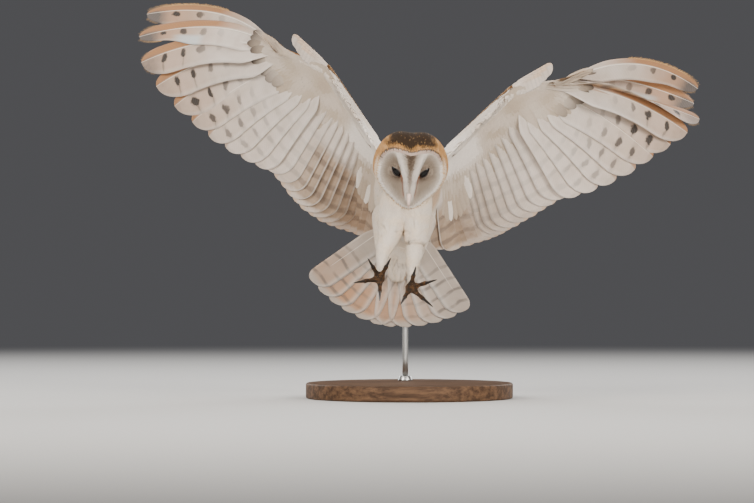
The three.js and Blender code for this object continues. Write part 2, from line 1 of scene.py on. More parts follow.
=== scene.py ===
# Barn owl coming in to land, life size: skin, feathers, eyes, bill, feet and stand.
# Shapes are worked out in millimetres about the middle of the shoulders, x to the bird's left,
# y to its tail and z up, and are put in the row frame, in metres, when they become meshes.
import bpy
import numpy as np
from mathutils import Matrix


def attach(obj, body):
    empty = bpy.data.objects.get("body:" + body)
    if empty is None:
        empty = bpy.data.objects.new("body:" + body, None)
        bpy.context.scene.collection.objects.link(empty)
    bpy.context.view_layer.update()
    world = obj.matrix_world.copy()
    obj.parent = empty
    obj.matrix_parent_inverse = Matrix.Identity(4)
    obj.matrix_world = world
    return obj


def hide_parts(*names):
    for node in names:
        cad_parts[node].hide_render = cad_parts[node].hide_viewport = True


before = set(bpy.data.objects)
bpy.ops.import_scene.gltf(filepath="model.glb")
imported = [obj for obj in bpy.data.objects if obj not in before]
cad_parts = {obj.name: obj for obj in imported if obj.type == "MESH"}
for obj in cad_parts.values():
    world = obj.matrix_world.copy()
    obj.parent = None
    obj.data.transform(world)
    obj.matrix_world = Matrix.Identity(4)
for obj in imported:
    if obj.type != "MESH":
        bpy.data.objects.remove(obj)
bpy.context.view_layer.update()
rng = np.random.default_rng(11)
scene = bpy.context.scene
print("frame loaded")


# camera and lights

view = {"place": (-0.0375, -4.08, 0.17), "lens": 168.06}
camera = bpy.data.cameras.new("camera")
camera.lens = view["lens"]
camera.sensor_width = 36
camera.clip_end = 50
cameraObject = bpy.data.objects.new("camera", camera)
cameraObject.location = view["place"]
cameraObject.rotation_euler = (np.pi / 2, 0, 0)
scene.collection.objects.link(cameraObject)
scene.camera = cameraObject

lamps = {
    "softLeft": {"at": (-1.5, -1.7, 1.25), "size": 0.9, "power": 52, "tint": (1, 0.945, 0.88)},
    "softRight": {"at": (1.6, -1.8, 1.0), "size": 0.9, "power": 52, "tint": (1, 0.945, 0.88)},
    "front": {"at": (0.1, -3.2, 0.9), "size": 1.4, "power": 30, "tint": (1, 0.955, 0.90)},
    "top": {"at": (0, 0.2, 1.9), "size": 1.4, "power": 22, "tint": (0.97, 0.98, 1)},
    "backLeft": {"at": (-1.5, 1.7, 1.1), "size": 1.1, "power": 36, "tint": (1, 1, 1)},
    "backRight": {"at": (1.5, 1.7, 1.1), "size": 1.1, "power": 36, "tint": (1, 1, 1)},
    "catch": {"at": (0.35, -2.4, 0.95), "size": 0.14, "power": 7, "tint": (1, 1, 1)},
}
aim = np.array([0.0, -0.05, 0.3])
for name, lamp in lamps.items():
    light = bpy.data.lights.new(name, "AREA")
    light.energy = lamp["power"]
    light.size = lamp["size"]
    light.color = lamp["tint"]
    holder = bpy.data.objects.new(name, light)
    holder.location = lamp["at"]
    away = np.array(lamp["at"]) - aim
    holder.rotation_euler = (np.arctan2(np.hypot(away[0], away[1]), away[2]), 0,
                             np.arctan2(away[0], -away[1]))
    scene.collection.objects.link(holder)

world = bpy.data.worlds.new("studio")
scene.world = world
world.use_nodes = True
background = world.node_tree.nodes["Background"]
background.inputs["Color"].default_value = (0.085, 0.085, 0.09, 1)
background.inputs["Strength"].default_value = 1.0


# shader maths: sockets that add, multiply and compare like numbers

class Wire:
    def __init__(self, tree, socket):
        self.tree = tree
        self.socket = socket

    def math(self, operation, *others):
        node = self.tree.nodes.new("ShaderNodeMath")
        node.operation = operation
        for slot, value in zip(node.inputs, (self, *others)):
            feed(self.tree, slot, value)
        return Wire(self.tree, node.outputs[0])

    __add__ = __radd__ = lambda self, other: self.math("ADD", other)
    __mul__ = __rmul__ = lambda self, other: self.math("MULTIPLY", other)
    __sub__ = lambda self, other: self.math("SUBTRACT", other)
    __truediv__ = lambda self, other: self.math("DIVIDE", other)
    __pow__ = lambda self, other: self.math("POWER", other)
    __abs__ = lambda self: self.math("ABSOLUTE")
    __round__ = lambda self: self.math("ROUND")

    def __rsub__(self, other):
        node = self.tree.nodes.new("ShaderNodeValue")
        node.outputs[0].default_value = other
        return Wire(self.tree, node.outputs[0]).math("SUBTRACT", self)

    def clamp(self):
        node = self.tree.nodes.new("ShaderNodeClamp")
        feed(self.tree, node.inputs[0], self)
        return Wire(self.tree, node.outputs[0])

    def step(self, low, high):  # 0 below low, 1 above high, smooth between
        node = self.tree.nodes.new("ShaderNodeMapRange")
        node.interpolation_type = "SMOOTHSTEP"
        for slot, value in zip(node.inputs, (self, low, high, 0, 1)):
            feed(self.tree, slot, value)
        return Wire(self.tree, node.outputs[0])


def feed(tree, slot, value):  # a link, or a number or colour set on the socket
    if isinstance(value, Wire):
        tree.links.new(value.socket, slot)
    elif isinstance(value, tuple) and len(value) == 3 and slot.type == "RGBA":
        slot.default_value = (*value, 1)
    else:
        slot.default_value = value


class Finish:
    # a new material: node makers, attributes and the shader
    def __init__(self, name, **fixed):
        self.material = bpy.data.materials.new(name)
        self.material.use_nodes = True
        self.tree = self.material.node_tree
        self.shader = self.tree.nodes["Principled BSDF"]
        for socket, value in fixed.items():
            feed(self.tree, self.shader.inputs[socket.replace("_", " ")], value)

    def node(self, kind, settings=None, output=0, **sockets):
        made = self.tree.nodes.new("ShaderNode" + kind)
        for key, value in (settings or {}).items():
            setattr(made, key, value)
        for key, value in sockets.items():
            index = int(key[1:]) if key[0] == "i" and key[1:].isdigit() else key.replace("_", " ")
            feed(self.tree, made.inputs[index], value)
        return Wire(self.tree, made.outputs[output])

    def value(self, name):
        return self.node("Attribute", {"attribute_name": name}, "Fac")

    def colour(self, name):
        return self.node("Attribute", {"attribute_name": name}, "Color")

    def place(self):
        return self.node("TexCoord", {}, "Object")

    def stretched(self, *scale):
        return self.node("Mapping", Vector=self.place(), Scale=scale)

    def noise(self, scale, detail=2.0, place=None, **more):
        place = place or self.place()
        return self.node("TexNoise", {}, "Fac", Vector=place, Scale=scale, Detail=detail, **more)

    def bump(self, height, strength, distance):
        return self.node("Bump", Height=height, Strength=strength, Distance=distance)

    def mix(self, factor, one, two, blend="MIX"):
        made = self.node("Mix", {"data_type": "RGBA", "blend_type": blend}, 2)
        for index, item in ((0, factor), (6, one), (7, two)):
            feed(self.tree, made.socket.node.inputs[index], item)
        return made

    def layers(self, colour, *layers):  # colours laid over one another, each with its amount
        for amount, over in layers:
            colour = self.mix(amount, colour, over)
        return colour

    def set(self, **sockets):
        for key, value in sockets.items():
            feed(self.tree, self.shader.inputs[key.replace("_", " ")], value)
        return self.material


# numpy helpers

bird = {"sideways": 1.1, "forward": -80, "up": 274, "roll": 6.5}


def turned(points, axis, degrees):  # points turned about the x or the y axis, right handed
    c, s = np.cos(np.radians(degrees)), np.sin(np.radians(degrees))
    x, y, z = np.moveaxis(np.asarray(points, float), -1, 0)
    if axis == "x":
        return np.stack([x, y * c - z * s, y * s + z * c], -1)
    return np.stack([x * c + z * s, y, z * c - x * s], -1)


def inRow(points):  # rolled, moved to the bird's place and made metres
    return (turned(points, "y", bird["roll"]) + [bird["sideways"], bird["forward"], bird["up"]]) / 1000


def fromRow(points):  # the way back, from metres
    return turned(points * 1000 - [bird["sideways"], bird["forward"], bird["up"]], "y", -bird["roll"])


def unit(v):  # a vector over its length
    return v / np.maximum(np.linalg.norm(v, axis=-1, keepdims=True), 1e-9)


def dot(a, b):
    return (a * b).sum(-1, keepdims=True)


def ease(t, low=0.0, high=1.0):  # smooth step from 0 at low to 1 at high
    s = np.clip((t - low) / (high - low), 0, 1)
    return s * s * (3 - 2 * s)


def blend(a, b, t):  # a at t 0, b at t 1, straight between
    return a + (b - a) * t


def through(stations, t):
    # smooth curve through (place, value) stations: cubics whose slope at each station is
    # the mean of the chords on its two sides
    at, value = np.array(stations, float).T
    chord = np.diff(value) / np.diff(at)
    slope = np.concatenate([chord[:1], (chord[1:] + chord[:-1]) / 2, chord[-1:]])
    t = np.asarray(t, float)
    k = np.clip(np.searchsorted(at, t, side="right") - 1, 0, len(at) - 2)
    span = at[k + 1] - at[k]
    s = np.clip((t - at[k]) / span, 0, 1)
    return (value[k] * (1 + 2 * s) * (1 - s) ** 2 + slope[k] * span * s * (1 - s) ** 2
            + value[k + 1] * s * s * (3 - 2 * s) + slope[k + 1] * span * s * s * (s - 1))


def newPiece(name, points, faces, material, slot, replaced=(), values=None, bake=None, row=False):
    # mesh from points and arrays of quads and triangles, with its attributes and its bake map
    mesh = bpy.data.meshes.new(name)
    faces = [f for f in faces if len(f)]
    corners = np.concatenate([f.ravel() for f in faces]).astype(np.int32)
    sizes = np.concatenate([np.full(len(f), f.shape[1]) for f in faces])
    starts = np.concatenate([[0], np.cumsum(sizes)[:-1]]).astype(np.int32)
    placed = points if row else inRow(points)
    mesh.vertices.add(len(placed))
    mesh.vertices.foreach_set("co", placed.astype(np.float32).ravel())
    mesh.loops.add(len(corners))
    mesh.loops.foreach_set("vertex_index", corners)
    mesh.polygons.add(len(starts))
    mesh.polygons.foreach_set("loop_start", starts)
    mesh.polygons.foreach_set("use_smooth", np.ones(len(starts), bool))
    mesh.update(calc_edges=True)
    mesh.validate()
    giveValues(mesh, values or {})
    if bake is not None:
        uv = mesh.uv_layers.new(name="OFBake")
        uv.data.foreach_set("uv", bake[corners].astype(np.float32).ravel())
    piece = bpy.data.objects.new(name, mesh)
    scene.collection.objects.link(piece)
    mesh.materials.append(material)
    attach(piece, "root")
    if replaced:
        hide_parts(*replaced)
    return piece


def giveValues(mesh, values):  # numbers or colours at each point of a mesh
    for key, value in values.items():
        if value.ndim == 2:
            layer = mesh.attributes.new(key, "FLOAT_COLOR", "POINT")
            full = np.concatenate([value, np.ones((len(value), 1))], 1)
            layer.data.foreach_set("color", full.astype(np.float32).ravel())
        else:
            mesh.attributes.new(key, "FLOAT", "POINT").data.foreach_set("value", value.astype(np.float32))


def read(items, key, width=1, kind=np.float32):  # a value of every vertex, corner or polygon
    values = np.empty(len(items) * width, kind)
    items.foreach_get(key, values)
    return values


def tiled(faces, count, size):  # the same faces for many like shapes of `size` points
    return (faces[None] + (np.arange(count) * size)[:, None, None]).reshape(-1, faces.shape[1])


def gridFaces(rows, columns, closed):  # quads of a grid of points, its columns joined in a ring or not
    r, c = np.meshgrid(np.arange(rows - 1), np.arange(columns if closed else columns - 1), indexing="ij")
    n = (c + 1) % columns
    return np.stack([r * columns + c, r * columns + n, (r + 1) * columns + n, (r + 1) * columns + c],
                    -1).reshape(-1, 4)


def closedRings(rings, poles=None, flip=False):
    # a surface through a stack of rings, each end drawn in to a pole; flip turns it inside out
    rows, sides = rings.shape[:2]
    first, last = (rings[0].mean(0), rings[-1].mean(0)) if poles is None else poles
    k = np.arange(sides)
    n = (k + 1) % sides
    end = (rows - 1) * sides
    caps = np.concatenate([np.stack([np.full(sides, rows * sides), n, k], -1),
                           np.stack([np.full(sides, rows * sides + 1), end + k, end + n], -1)])
    faces = [gridFaces(rows, sides, True), caps]
    return (np.concatenate([rings.reshape(-1, 3), [first, last]]),
            [f[:, ::-1] for f in faces] if flip else faces)


def tube(path, halfWidth, halfDepth, up, sides=20):
    # closed tube: each ring is an ellipse across the path, its depth towards `up`, and a
    # pole closes each end
    path = np.asarray(path, float)
    along = unit(np.gradient(path, axis=0))
    across = unit(np.cross(along, up))
    out = np.cross(across, along)
    turn = np.linspace(0, 2 * np.pi, sides, endpoint=False)
    rings = (path[:, None] + across[:, None] * (np.cos(turn)[:, None] * np.reshape(halfWidth, (-1, 1, 1)))
             + out[:, None] * (np.sin(turn)[:, None] * np.reshape(halfDepth, (-1, 1, 1))))
    return closedRings(rings, (path[0], path[-1]), True)


def capsule(stations, halfWidth, halfDepth, up, sides=20, rows=24, round=0.6):
    # tube through stations of points whose ends shrink like half an ellipse
    stations = np.asarray(stations, float)
    t = np.linspace(0, 1, len(stations))
    s = (1 - np.cos(np.linspace(0, np.pi, rows))) / 2
    path = np.stack([through(np.stack([t, stations[:, i]], -1), s) for i in range(3)], -1)
    a = through(np.stack([t, halfWidth], -1), s)
    b = through(np.stack([t, halfDepth], -1), s)
    length = np.linalg.norm(np.diff(path, axis=0), axis=1).sum()
    ends = [np.clip(s * length / (round * a[0]), 0, 1), np.clip((1 - s) * length / (round * a[-1]), 0, 1)]
    shrink = np.sqrt(1 - (1 - ends[0]) ** 2) * np.sqrt(1 - (1 - ends[1]) ** 2) + 0.02
    return tube(path, a * shrink, b * shrink, up, sides)


def joined(shapes):  # several (points, faces) as one
    points, quads, tris, base = [], [], [], 0
    for shape, faces in shapes:
        points.append(shape)
        for f in faces:
            (quads if f.shape[1] == 4 else tris).append(f + base)
        base += len(shape)
    return np.concatenate(points), [np.concatenate(group) for group in (quads, tris) if group]


# the body's measures, as the solids have them

head = {"centre": (0, -45, -9), "pitch": 35, "roll": -3.5, "halfWidth": 35, "halfHeight": 39,
        "notch": 6.5, "forward": 27, "sweep": 0.2, "dish": 5.5, "ridge": 7, "back": 42, "ruff": 11.5,
        "rim": 0.42}  # rim: how far from the face's middle to the nape the disc ends
eye = {"radius": 9, "across": 15.5, "up": 5, "forward": 13.5}
spine = {  # places along the body: y, z, half width, half depth
    "neck": [(-38, -12, 36, 35), (-12, -12, 37.5, 36.5), (14, -21, 37.5, 36)],
    "trunk": [(4, -16, 34, 32), (18, -25, 37.5, 36), (42, -42, 37.5, 36.5), (68, -60, 31, 30),
              (88, -73, 21, 19), (103, -83, 13, 10)],
    "undertail": [(97, -84, 13, 8), (108, -112, 14, 7), (118, -140, 10, 4)],
}
tail = {"root": (0, 99, -62), "feathers": 12, "length": 142, "rootRadius": 20, "spread": 94.5,
        "yaw": 4.5, "tilt": 20, "dome": 7}
joint = {name: np.array(place, float) for name, place in {
    "shoulder": (25, 12, -8), "front": (31, 4, -3), "elbow": (43, 82, 16), "wrist": (109, 76, 94),
    "fingertip": (168, 118, 113), "scapular": (31, 50, 0)}.items()}
limb = {"shoulder": 13, "elbow": 9, "wrist": 7.5, "fingertip": 3.5, "flat": 0.72}
featherLengths = np.array([216, 223, 221, 210, 199, 188, 179, 170, 163, 158,
                           151, 149, 148, 148, 147, 147, 146, 146, 145, 144, 142, 140,
                           138, 133, 127, 119], float)
wings = {
    "left": {"mirror": 1,
             "fan": [(0, 6.3), (4.5, -19), (9, -50.5), (15, -66), (21, -71.5), (25, -92)],
             "sweep": [(0, 38.5), (1, 39.5), (2, 33), (4.5, 31), (9, 26), (15, 28), (21, 36), (25, 39)]},
    "right": {"mirror": -1,
              "fan": [(0, 11), (4.5, -29), (9, -60), (15, -73.5), (21, -87), (25, -96)],
              "sweep": [(0, 38), (2, 35.5), (4.5, 37), (9, 31), (15, 25), (21, 38), (25, 40)]},
}
legs = {
    "left": {"mirror": 1, "heel": (17, -14, -105), "foot": (15, -78, -143.5),
             "toes": [(83, 22), (24, 28), (-34, 30), (-115, 19)]},
    "right": {"mirror": -1, "heel": (-20, -14, -105), "foot": (-20, -68, -137.5),
              "toes": [(69, 24), (127, 24), (195, 27), (276, 22)]},
}
hip = (18, 44, -62)
upward = np.array([0, 0.5, 0.86])
frontal = np.array([0, 1, 0.01])


def inHead(x, forward, up):  # from the head's own axes: side, out of the face, up the face
    local = np.stack(np.broadcast_arrays(x, -np.asarray(forward, float), up), -1)
    return turned(turned(local, "x", head["pitch"]), "y", head["roll"]) + head["centre"]


def toHead(points):  # side, forward and up in the head's own axes
    local = turned(turned(points - head["centre"], "y", -head["roll"]), "x", -head["pitch"])
    return local[..., 0], -local[..., 1], local[..., 2]


def discRim(turn, corners=1.0):
    # outline of the facial disc: an egg narrowed at the chin, squarer at the brows, and
    # notched between them
    chin = np.maximum(0, -np.cos(turn))
    fold = np.arctan2(np.sin(turn), np.cos(turn))
    square = (1 + corners * (0.13 * np.exp(-((abs(fold) - 0.84) / 0.36) ** 2)
                             - 0.06 * np.exp(-((abs(fold) - 2.4) / 0.4) ** 2)))
    x = head["halfWidth"] * np.sin(turn) * (1 - 0.24 * chin ** 1.5)
    up = head["halfHeight"] * np.cos(turn) * square - head["notch"] * np.exp(-(fold / 0.34) ** 2)
    return x * square, up


def bandPlace(up):  # how far to each side the white band runs: a V that opens upwards from the bill
    return through([(-40, 0.6), (-24, 2.2), (-10, 4.2), (0, 5.6), (14, 8.4), (30, 15), (40, 20)], up)


def bandMask(x, up):  # 1 on the two bands, less in the groove between them, 0 beyond
    off = abs(x) - bandPlace(up)
    return np.exp(-(np.maximum(off, 0) / 4.2) ** 2) * (0.6 + 0.4 * np.exp(-(off / 3.2) ** 2))


def headSurface(s, turn, grow=0.0):
    # s 0 at the middle of the face, head["rim"] at the disc's rim, 1 at the nape; turn 0 up.
    # face: a shallow dish with the bands and a mound round each eye; behind: a quarter
    # ellipse and the ruff
    x, up = discRim(turn)
    q = np.clip(s / head["rim"], 0, 1)
    mask = bandMask(x * q, up * q)
    mound = np.exp(-(((abs(x * q) - eye["across"]) ** 2 + (up * q - eye["up"]) ** 2) / 150))
    face = (head["forward"] - head["sweep"] * abs(x) * q - head["dish"] * 4 * q * (1 - q) * (1 - mask)
            + head["ridge"] * mask * (1 - q ** 3) + 3.4 * mound * (1 - mask) + grow)
    g = 1 - np.cos(np.clip((s - head["rim"]) / (1 - head["rim"]), 0, 1) * np.pi / 2)
    plainX, plainUp = discRim(turn, 0.0)
    rim = blend(np.hypot(x, up), np.hypot(plainX, plainUp), ease(g, 0, 0.2))
    radius = rim * np.sqrt(1 - g * g) + head["ruff"] * np.sin(np.pi * np.clip(g, 0, 1)) ** 0.6 + grow
    forward = blend(head["forward"] - head["sweep"] * abs(x) + grow, -head["back"] - grow, g)
    back = s > head["rim"]
    scale = np.where(back, radius / np.hypot(x, up), q * (1 + grow / 40))
    return inHead(x * scale, np.where(back, forward, face), up * scale)


stretch = {"hand": 9.5, "forearm": 12, "upperArm": 4}  # how many feathers grow on each


def rootOf(w):  # where feather w grows: along the hand, then the forearm, then the upper arm
    w = np.asarray(w, float)[..., None]
    hand, forearm = stretch["hand"], stretch["forearm"]
    return (joint["fingertip"] + (joint["wrist"] - joint["fingertip"]) * np.clip(w, -1, hand) / hand
            + (joint["elbow"] - joint["wrist"]) * np.clip(w - hand, 0, forearm) / forearm
            + (joint["scapular"] - joint["elbow"]) * np.clip(w - hand - forearm, 0, None) / stretch["upperArm"])


def shaftDirection(wing, w):  # a unit vector from its angles above the horizontal and back
    fan = np.radians(through(wing["fan"], w))
    sweep = np.radians(through(wing["sweep"], w))
    return np.stack([np.cos(sweep) * np.cos(fan), np.sin(sweep), np.cos(sweep) * np.sin(fan)], -1)


def lengthOf(w):  # feather lengths, with straight lines between whole numbers
    return np.interp(w, np.arange(len(featherLengths)), featherLengths)


def wingSurface(wing, w, v):
    # root plus the shaft's length times v, bowed forward along the wing and back out of it
    w, v = np.broadcast_arrays(np.asarray(w, float), np.asarray(v, float))
    reach = lengthOf(w)[..., None]
    shaft = shaftDirection(wing, w)
    forward = (rootOf(w - 0.5) + shaftDirection(wing, w - 0.5) * reach * 0.6
               - rootOf(w + 0.5) - shaftDirection(wing, w + 0.5) * reach * 0.6)
    forward = unit(forward - shaft * dot(forward, shaft))
    back = unit(np.cross(forward, shaft))
    back = back * np.where(back[..., 1:2] < 0, -1, 1)
    arch = (4 * v * (1 - v))[..., None] * reach
    bow = 0.115 * np.maximum(0, 1 - w / 16)[..., None] ** 1.6
    return rootOf(w) + shaft * reach * v[..., None] + forward * arch * bow + back * arch * 0.035


def wingFrame(wing, w, v):
    # point, way along the feather, way towards the next inner feather and way out of the underside
    step = 0.02
    point = wingSurface(wing, w, v)
    along = unit(wingSurface(wing, w, v + step) - wingSurface(wing, w, v - step))
    outer = np.maximum(v, 0.3)  # near the roots, across the wing as it is a little further out
    inner = wingSurface(wing, w + 0.3, outer) - wingSurface(wing, w - 0.3, outer)
    inner = unit(inner - along * dot(inner, along))
    return point, along, inner, np.cross(inner, along)


def mirrored(points, mirror):  # left for mirror 1, right for -1
    return points * [mirror, 1, 1]


# colours of the plumage, shared by skin and feathers

plumage = {
    "white": (0.82, 0.75, 0.675),
    # the underwing's buff, made darker to serve as painted shade there
    "beigeAndShade": (0.46, 0.365, 0.275),
    "dusky": (0.085, 0.066, 0.054),
    "cream": (0.74, 0.58, 0.41),
    "golden": (0.43, 0.215, 0.07),
    "paleGold": (0.60, 0.36, 0.155),
    "grey": (0.13, 0.105, 0.088),
    "crown": (0.015, 0.0098, 0.0066),
    "rust": (0.20, 0.06, 0.014),
    "dark": (0.012, 0.008, 0.006),
    "disc": (0.47, 0.38, 0.295),
    # painted shade, laid in the face's groove, low on the disc and round the eyes
    "shade": (0.14, 0.098, 0.068),
    "ochre": (0.42, 0.26, 0.10),
    "bare": (0.03, 0.015, 0.006),
}
plumage = {name: np.array(colour) for name, colour in plumage.items()}


def waves(points, size, seed):
    # soft noise from -1 to 1: a sum of sines across slanted planes, each turned by its seed
    made = np.zeros(points.shape[:-1])
    turns = np.random.default_rng(seed)
    for k in range(7):
        way = turns.normal(size=3)
        way *= 2 * np.pi / (size * turns.uniform(0.6, 1.6) * np.linalg.norm(way))
        made += np.sin(points @ way + turns.uniform(0, 2 * np.pi))
    return made / 3.2


def tinted(colour, *layers):  # other colours laid over one, each with its amount
    colour = plumage[colour] if isinstance(colour, str) else colour
    for over, amount in zip(layers[::2], layers[1::2]):
        over = plumage[over] if isinstance(over, str) else over
        colour = blend(colour, over, np.asarray(amount)[..., None])
    return colour


def spinePlace(points):
    # nearest place along the body's middle line: z and radius there, and the line's direction
    rings = np.array(spine["neck"] + spine["trunk"][1:] + spine["undertail"][1:], float)
    y = points[..., 1]
    z = np.interp(y, rings[:, 0], rings[:, 1])
    slope = np.interp(y, rings[:, 0], np.gradient(rings[:, 1], rings[:, 0]))
    radius = np.interp(y, rings[:, 0], (rings[:, 2] + rings[:, 3]) / 2)
    return z, radius, unit(np.stack([np.zeros_like(y), np.ones_like(y), slope], -1))


def bodyTint(points):
    # white below, golden above with a grey veil; the change runs along the sides
    z = spinePlace(points)[0]
    rise = np.arctan2(points[..., 2] - z, abs(points[..., 0])) / (np.pi / 2)
    patch = waves(points, 14, 3)
    above = ease(rise + patch * 0.06, 0.12, 0.42)
    neck = (1 - ease(points[..., 1], 4, 26)) * ease(points[..., 0] + patch * 3, 18, 31)
    neck = neck * ease(rise, -0.75, -0.3)
    veil = ease(waves(points, 9, 5) + 0.15 + 0.5 * ease(rise, 0.4, 0.9), 0, 0.9)
    return tinted(legTint(points), "cream", ease(rise + patch * 0.1, -0.25, 0.15) * 0.45,
                  "golden", neck * 0.6, "golden", above * (0.86 + 0.14 * patch), "grey", above * veil * 0.75)


def faceRatio(points):
    # distance from the disc's middle over the rim's there, and whether the place is on the
    # face: not further back than the dish is deep
    x, forward, up = toHead(points)
    rimX, rimUp = discRim(np.arctan2(x, up))
    ratio = np.hypot(x, up) / np.hypot(rimX, rimUp)
    behind = head["forward"] - head["sweep"] * np.minimum(abs(x), head["halfWidth"]) - forward
    q = np.clip(ratio / 0.93, 0, 1)
    onFace = (ratio < 1.0) & (behind < head["dish"] * 4 * q * (1 - q) + 4.2)
    return ratio, x, up, behind, onFace


def headTint(points):  # colours of crown, sides and chin, and on the face those of the disc
    ratio, x, up, behind, onFace = faceRatio(points)
    turn = np.arctan2(x, up)
    patch = waves(points, 9, 8)
    # behind the rim: golden sides, a dark grey-brown crown, paler below the chin
    crown = ease(behind + patch, 2.5, 7) * (1 - ease(abs(x) + 2 * patch, 20, 30)) * ease(up, -2, 12)
    low = ease(-up - 0.25 * x + patch * 1.5, 12, 24) * (1 - ease(behind, 40, 58))
    # a cream and white band behind the disc's sides: partly the pale edge behind the ruff, partly painted rim
    # light
    paleSideAndRimLight = (1 - ease(behind, 3.0, 9.0)) * (1 - ease(np.cos(turn), 0.3, 0.6))
    chin = ease(-up, 12, 26)
    rimLine = np.exp(-((ratio - 1.12 - 0.02 * patch) / 0.06) ** 2)
    colour = tinted("golden", "paleGold", ease(patch, -0.2, 1.2) * 0.5, "crown", crown * 0.96,
                    "paleGold", crown * ease(waves(points, 3.2, 18), 0.85, 1.2) * 0.2,
                    "grey", ease(behind, 38, 60) * ease(patch, -0.8, 0.6) * 0.6,
                    legTint(points), low, "cream", paleSideAndRimLight * 0.9, "white", paleSideAndRimLight * 0.35,
                    "ochre", rimLine * chin * 0.7,
                    legTint(points), ease(ratio + 0.02 * patch, 1.16, 1.28) * chin)
    # the face: pale disc, white bands, painted shade round the eyes, low on the disc and in the groove,
    # darkest at its top, rust in the eyes' inner corners and down the bands' outer sides
    lower = ease(-up, -4, 20) * (1 - ease(ratio, 0.6, 0.95))
    fromEye = np.hypot(abs(x) - eye["across"], (up - eye["up"] - 2) * 0.9)
    place = bandPlace(up)
    band = np.exp(-((abs(x) - place) / 2.9) ** 2) * ease(up, -30, -20)
    groove = (1 - ease(abs(x) / np.maximum(place, 1), 0.3, 0.9)) * ease(up, -14, 6)
    line = np.exp(-((abs(x) - place - 3.0) / 1.25) ** 2) * ease(up, -26, -18) * ease(-up, -7, 3)
    corner = np.exp(-(np.hypot(abs(x) - 9.6, (up - 1.5) * 0.8) / 3.0) ** 2)
    face = tinted("disc", "white", ease(ratio, 0.6, 0.95) * 0.5, "shade", lower * 0.3,
                  "shade", np.exp(-(fromEye / 10.5) ** 2) * 0.85, "shade", groove,
                  "crown", groove * ease(up, 4, 22) * np.exp(-(x / 6) ** 2) * 0.5,
                  "white", band * 0.97, "rust", line * 0.75, "rust", corner * 0.95)
    brow = np.exp(-((behind - 1.2) / 1.3) ** 2) * ease(np.cos(turn), 0.45, 0.7) * (ratio > 0.93)
    return tinted(np.where(onFace[..., None], face, colour), "rust", brow * 0.75, "dark", brow * 0.55)


def legTint(points):
    return tinted(plumage["white"] * 0.84, "cream", 0.32 + ease(waves(points, 14, 9), -0.4, 1) * 0.3)


def armTint(points, wing):
    # underside white, beige with painted shade towards the hand and over the roots, the upper side golden with
    # a grey veil
    under = ease(wingSide(points, wing), -6.5, -3.5)
    upper = tinted("golden", "grey", ease(waves(points, 10, 15), -0.4, 0.8) * 0.7)
    before = forwardOfRoots(points, wing)
    outward = 1 - ease(wingTable[wing]["w"][nearestOnWing(points, wing)], 15.5, 19)
    lower = tinted("white", "cream", ease(waves(points, 16, 16), 0, 1) * 0.3,
                   "beigeAndShade", (1 - ease(before, -1, 3)) * 0.45, "beigeAndShade", ease(before, 3, 8) * outward * 0.5)
    return blend(upper, lower, np.maximum(under, ease(before, 5.5, 10))[..., None])


def forwardOfRoots(points, side):  # how far ahead of the feathers' roots, in mm
    near = nearestOnWing(points, side)
    table = wingTable[side]
    return -((points - table["place"][near]) * table["along"][near]).sum(-1)


wingTable = {}
for side, wing in wings.items():
    w = np.linspace(-0.5, 25, 160)
    place, along, inner, under = wingFrame(wing, w, np.full_like(w, 0.05))
    wingTable[side] = {"w": w, "place": place, "along": along, "under": under}


def nearestOnWing(points, side):  # index of the nearest feather root, on the bird's left side
    table = wingTable[side]
    flat = points.reshape(-1, 3)
    best = np.empty(len(flat), int)
    for start in range(0, len(flat), 20000):  # in parts, to spare memory
        part = flat[start:start + 20000, None] - table["place"][None]
        best[start:start + 20000] = (part ** 2).sum(-1).argmin(1)
    return best.reshape(points.shape[:-1])


def wingSide(points, side):  # height out of the wing's underside, in mm
    near = nearestOnWing(points, side)
    table = wingTable[side]
    return ((points - table["place"][near]) * table["under"][near]).sum(-1)


# skin: one closed surface over all the flesh

skinSettings = {"coat": 3.0, "voxel": 0.0014, "smooth": 9}


def headShape(grow):  # rings round the head from the face's middle to the nape
    s, turn = np.meshgrid(np.linspace(0.015, 0.985, 60), np.linspace(0, 2 * np.pi, 64, endpoint=False),
                          indexing="ij")
    return closedRings(headSurface(s, turn, grow))


def bodyShape(rings, grow, ends=0.5):  # a capsule through rings of the spine
    rings = np.array(rings, float)
    path = np.stack([np.zeros(len(rings)), rings[:, 0], rings[:, 1]], -1)
    return capsule(path, rings[:, 2] + grow, rings[:, 3] + grow, upward, 40, 30, ends)


def wingNormal(wing, w):  # way out of the wing's underside near feather w
    return wingFrame(wing, np.array([w]), np.array([0.3]))[3][0]


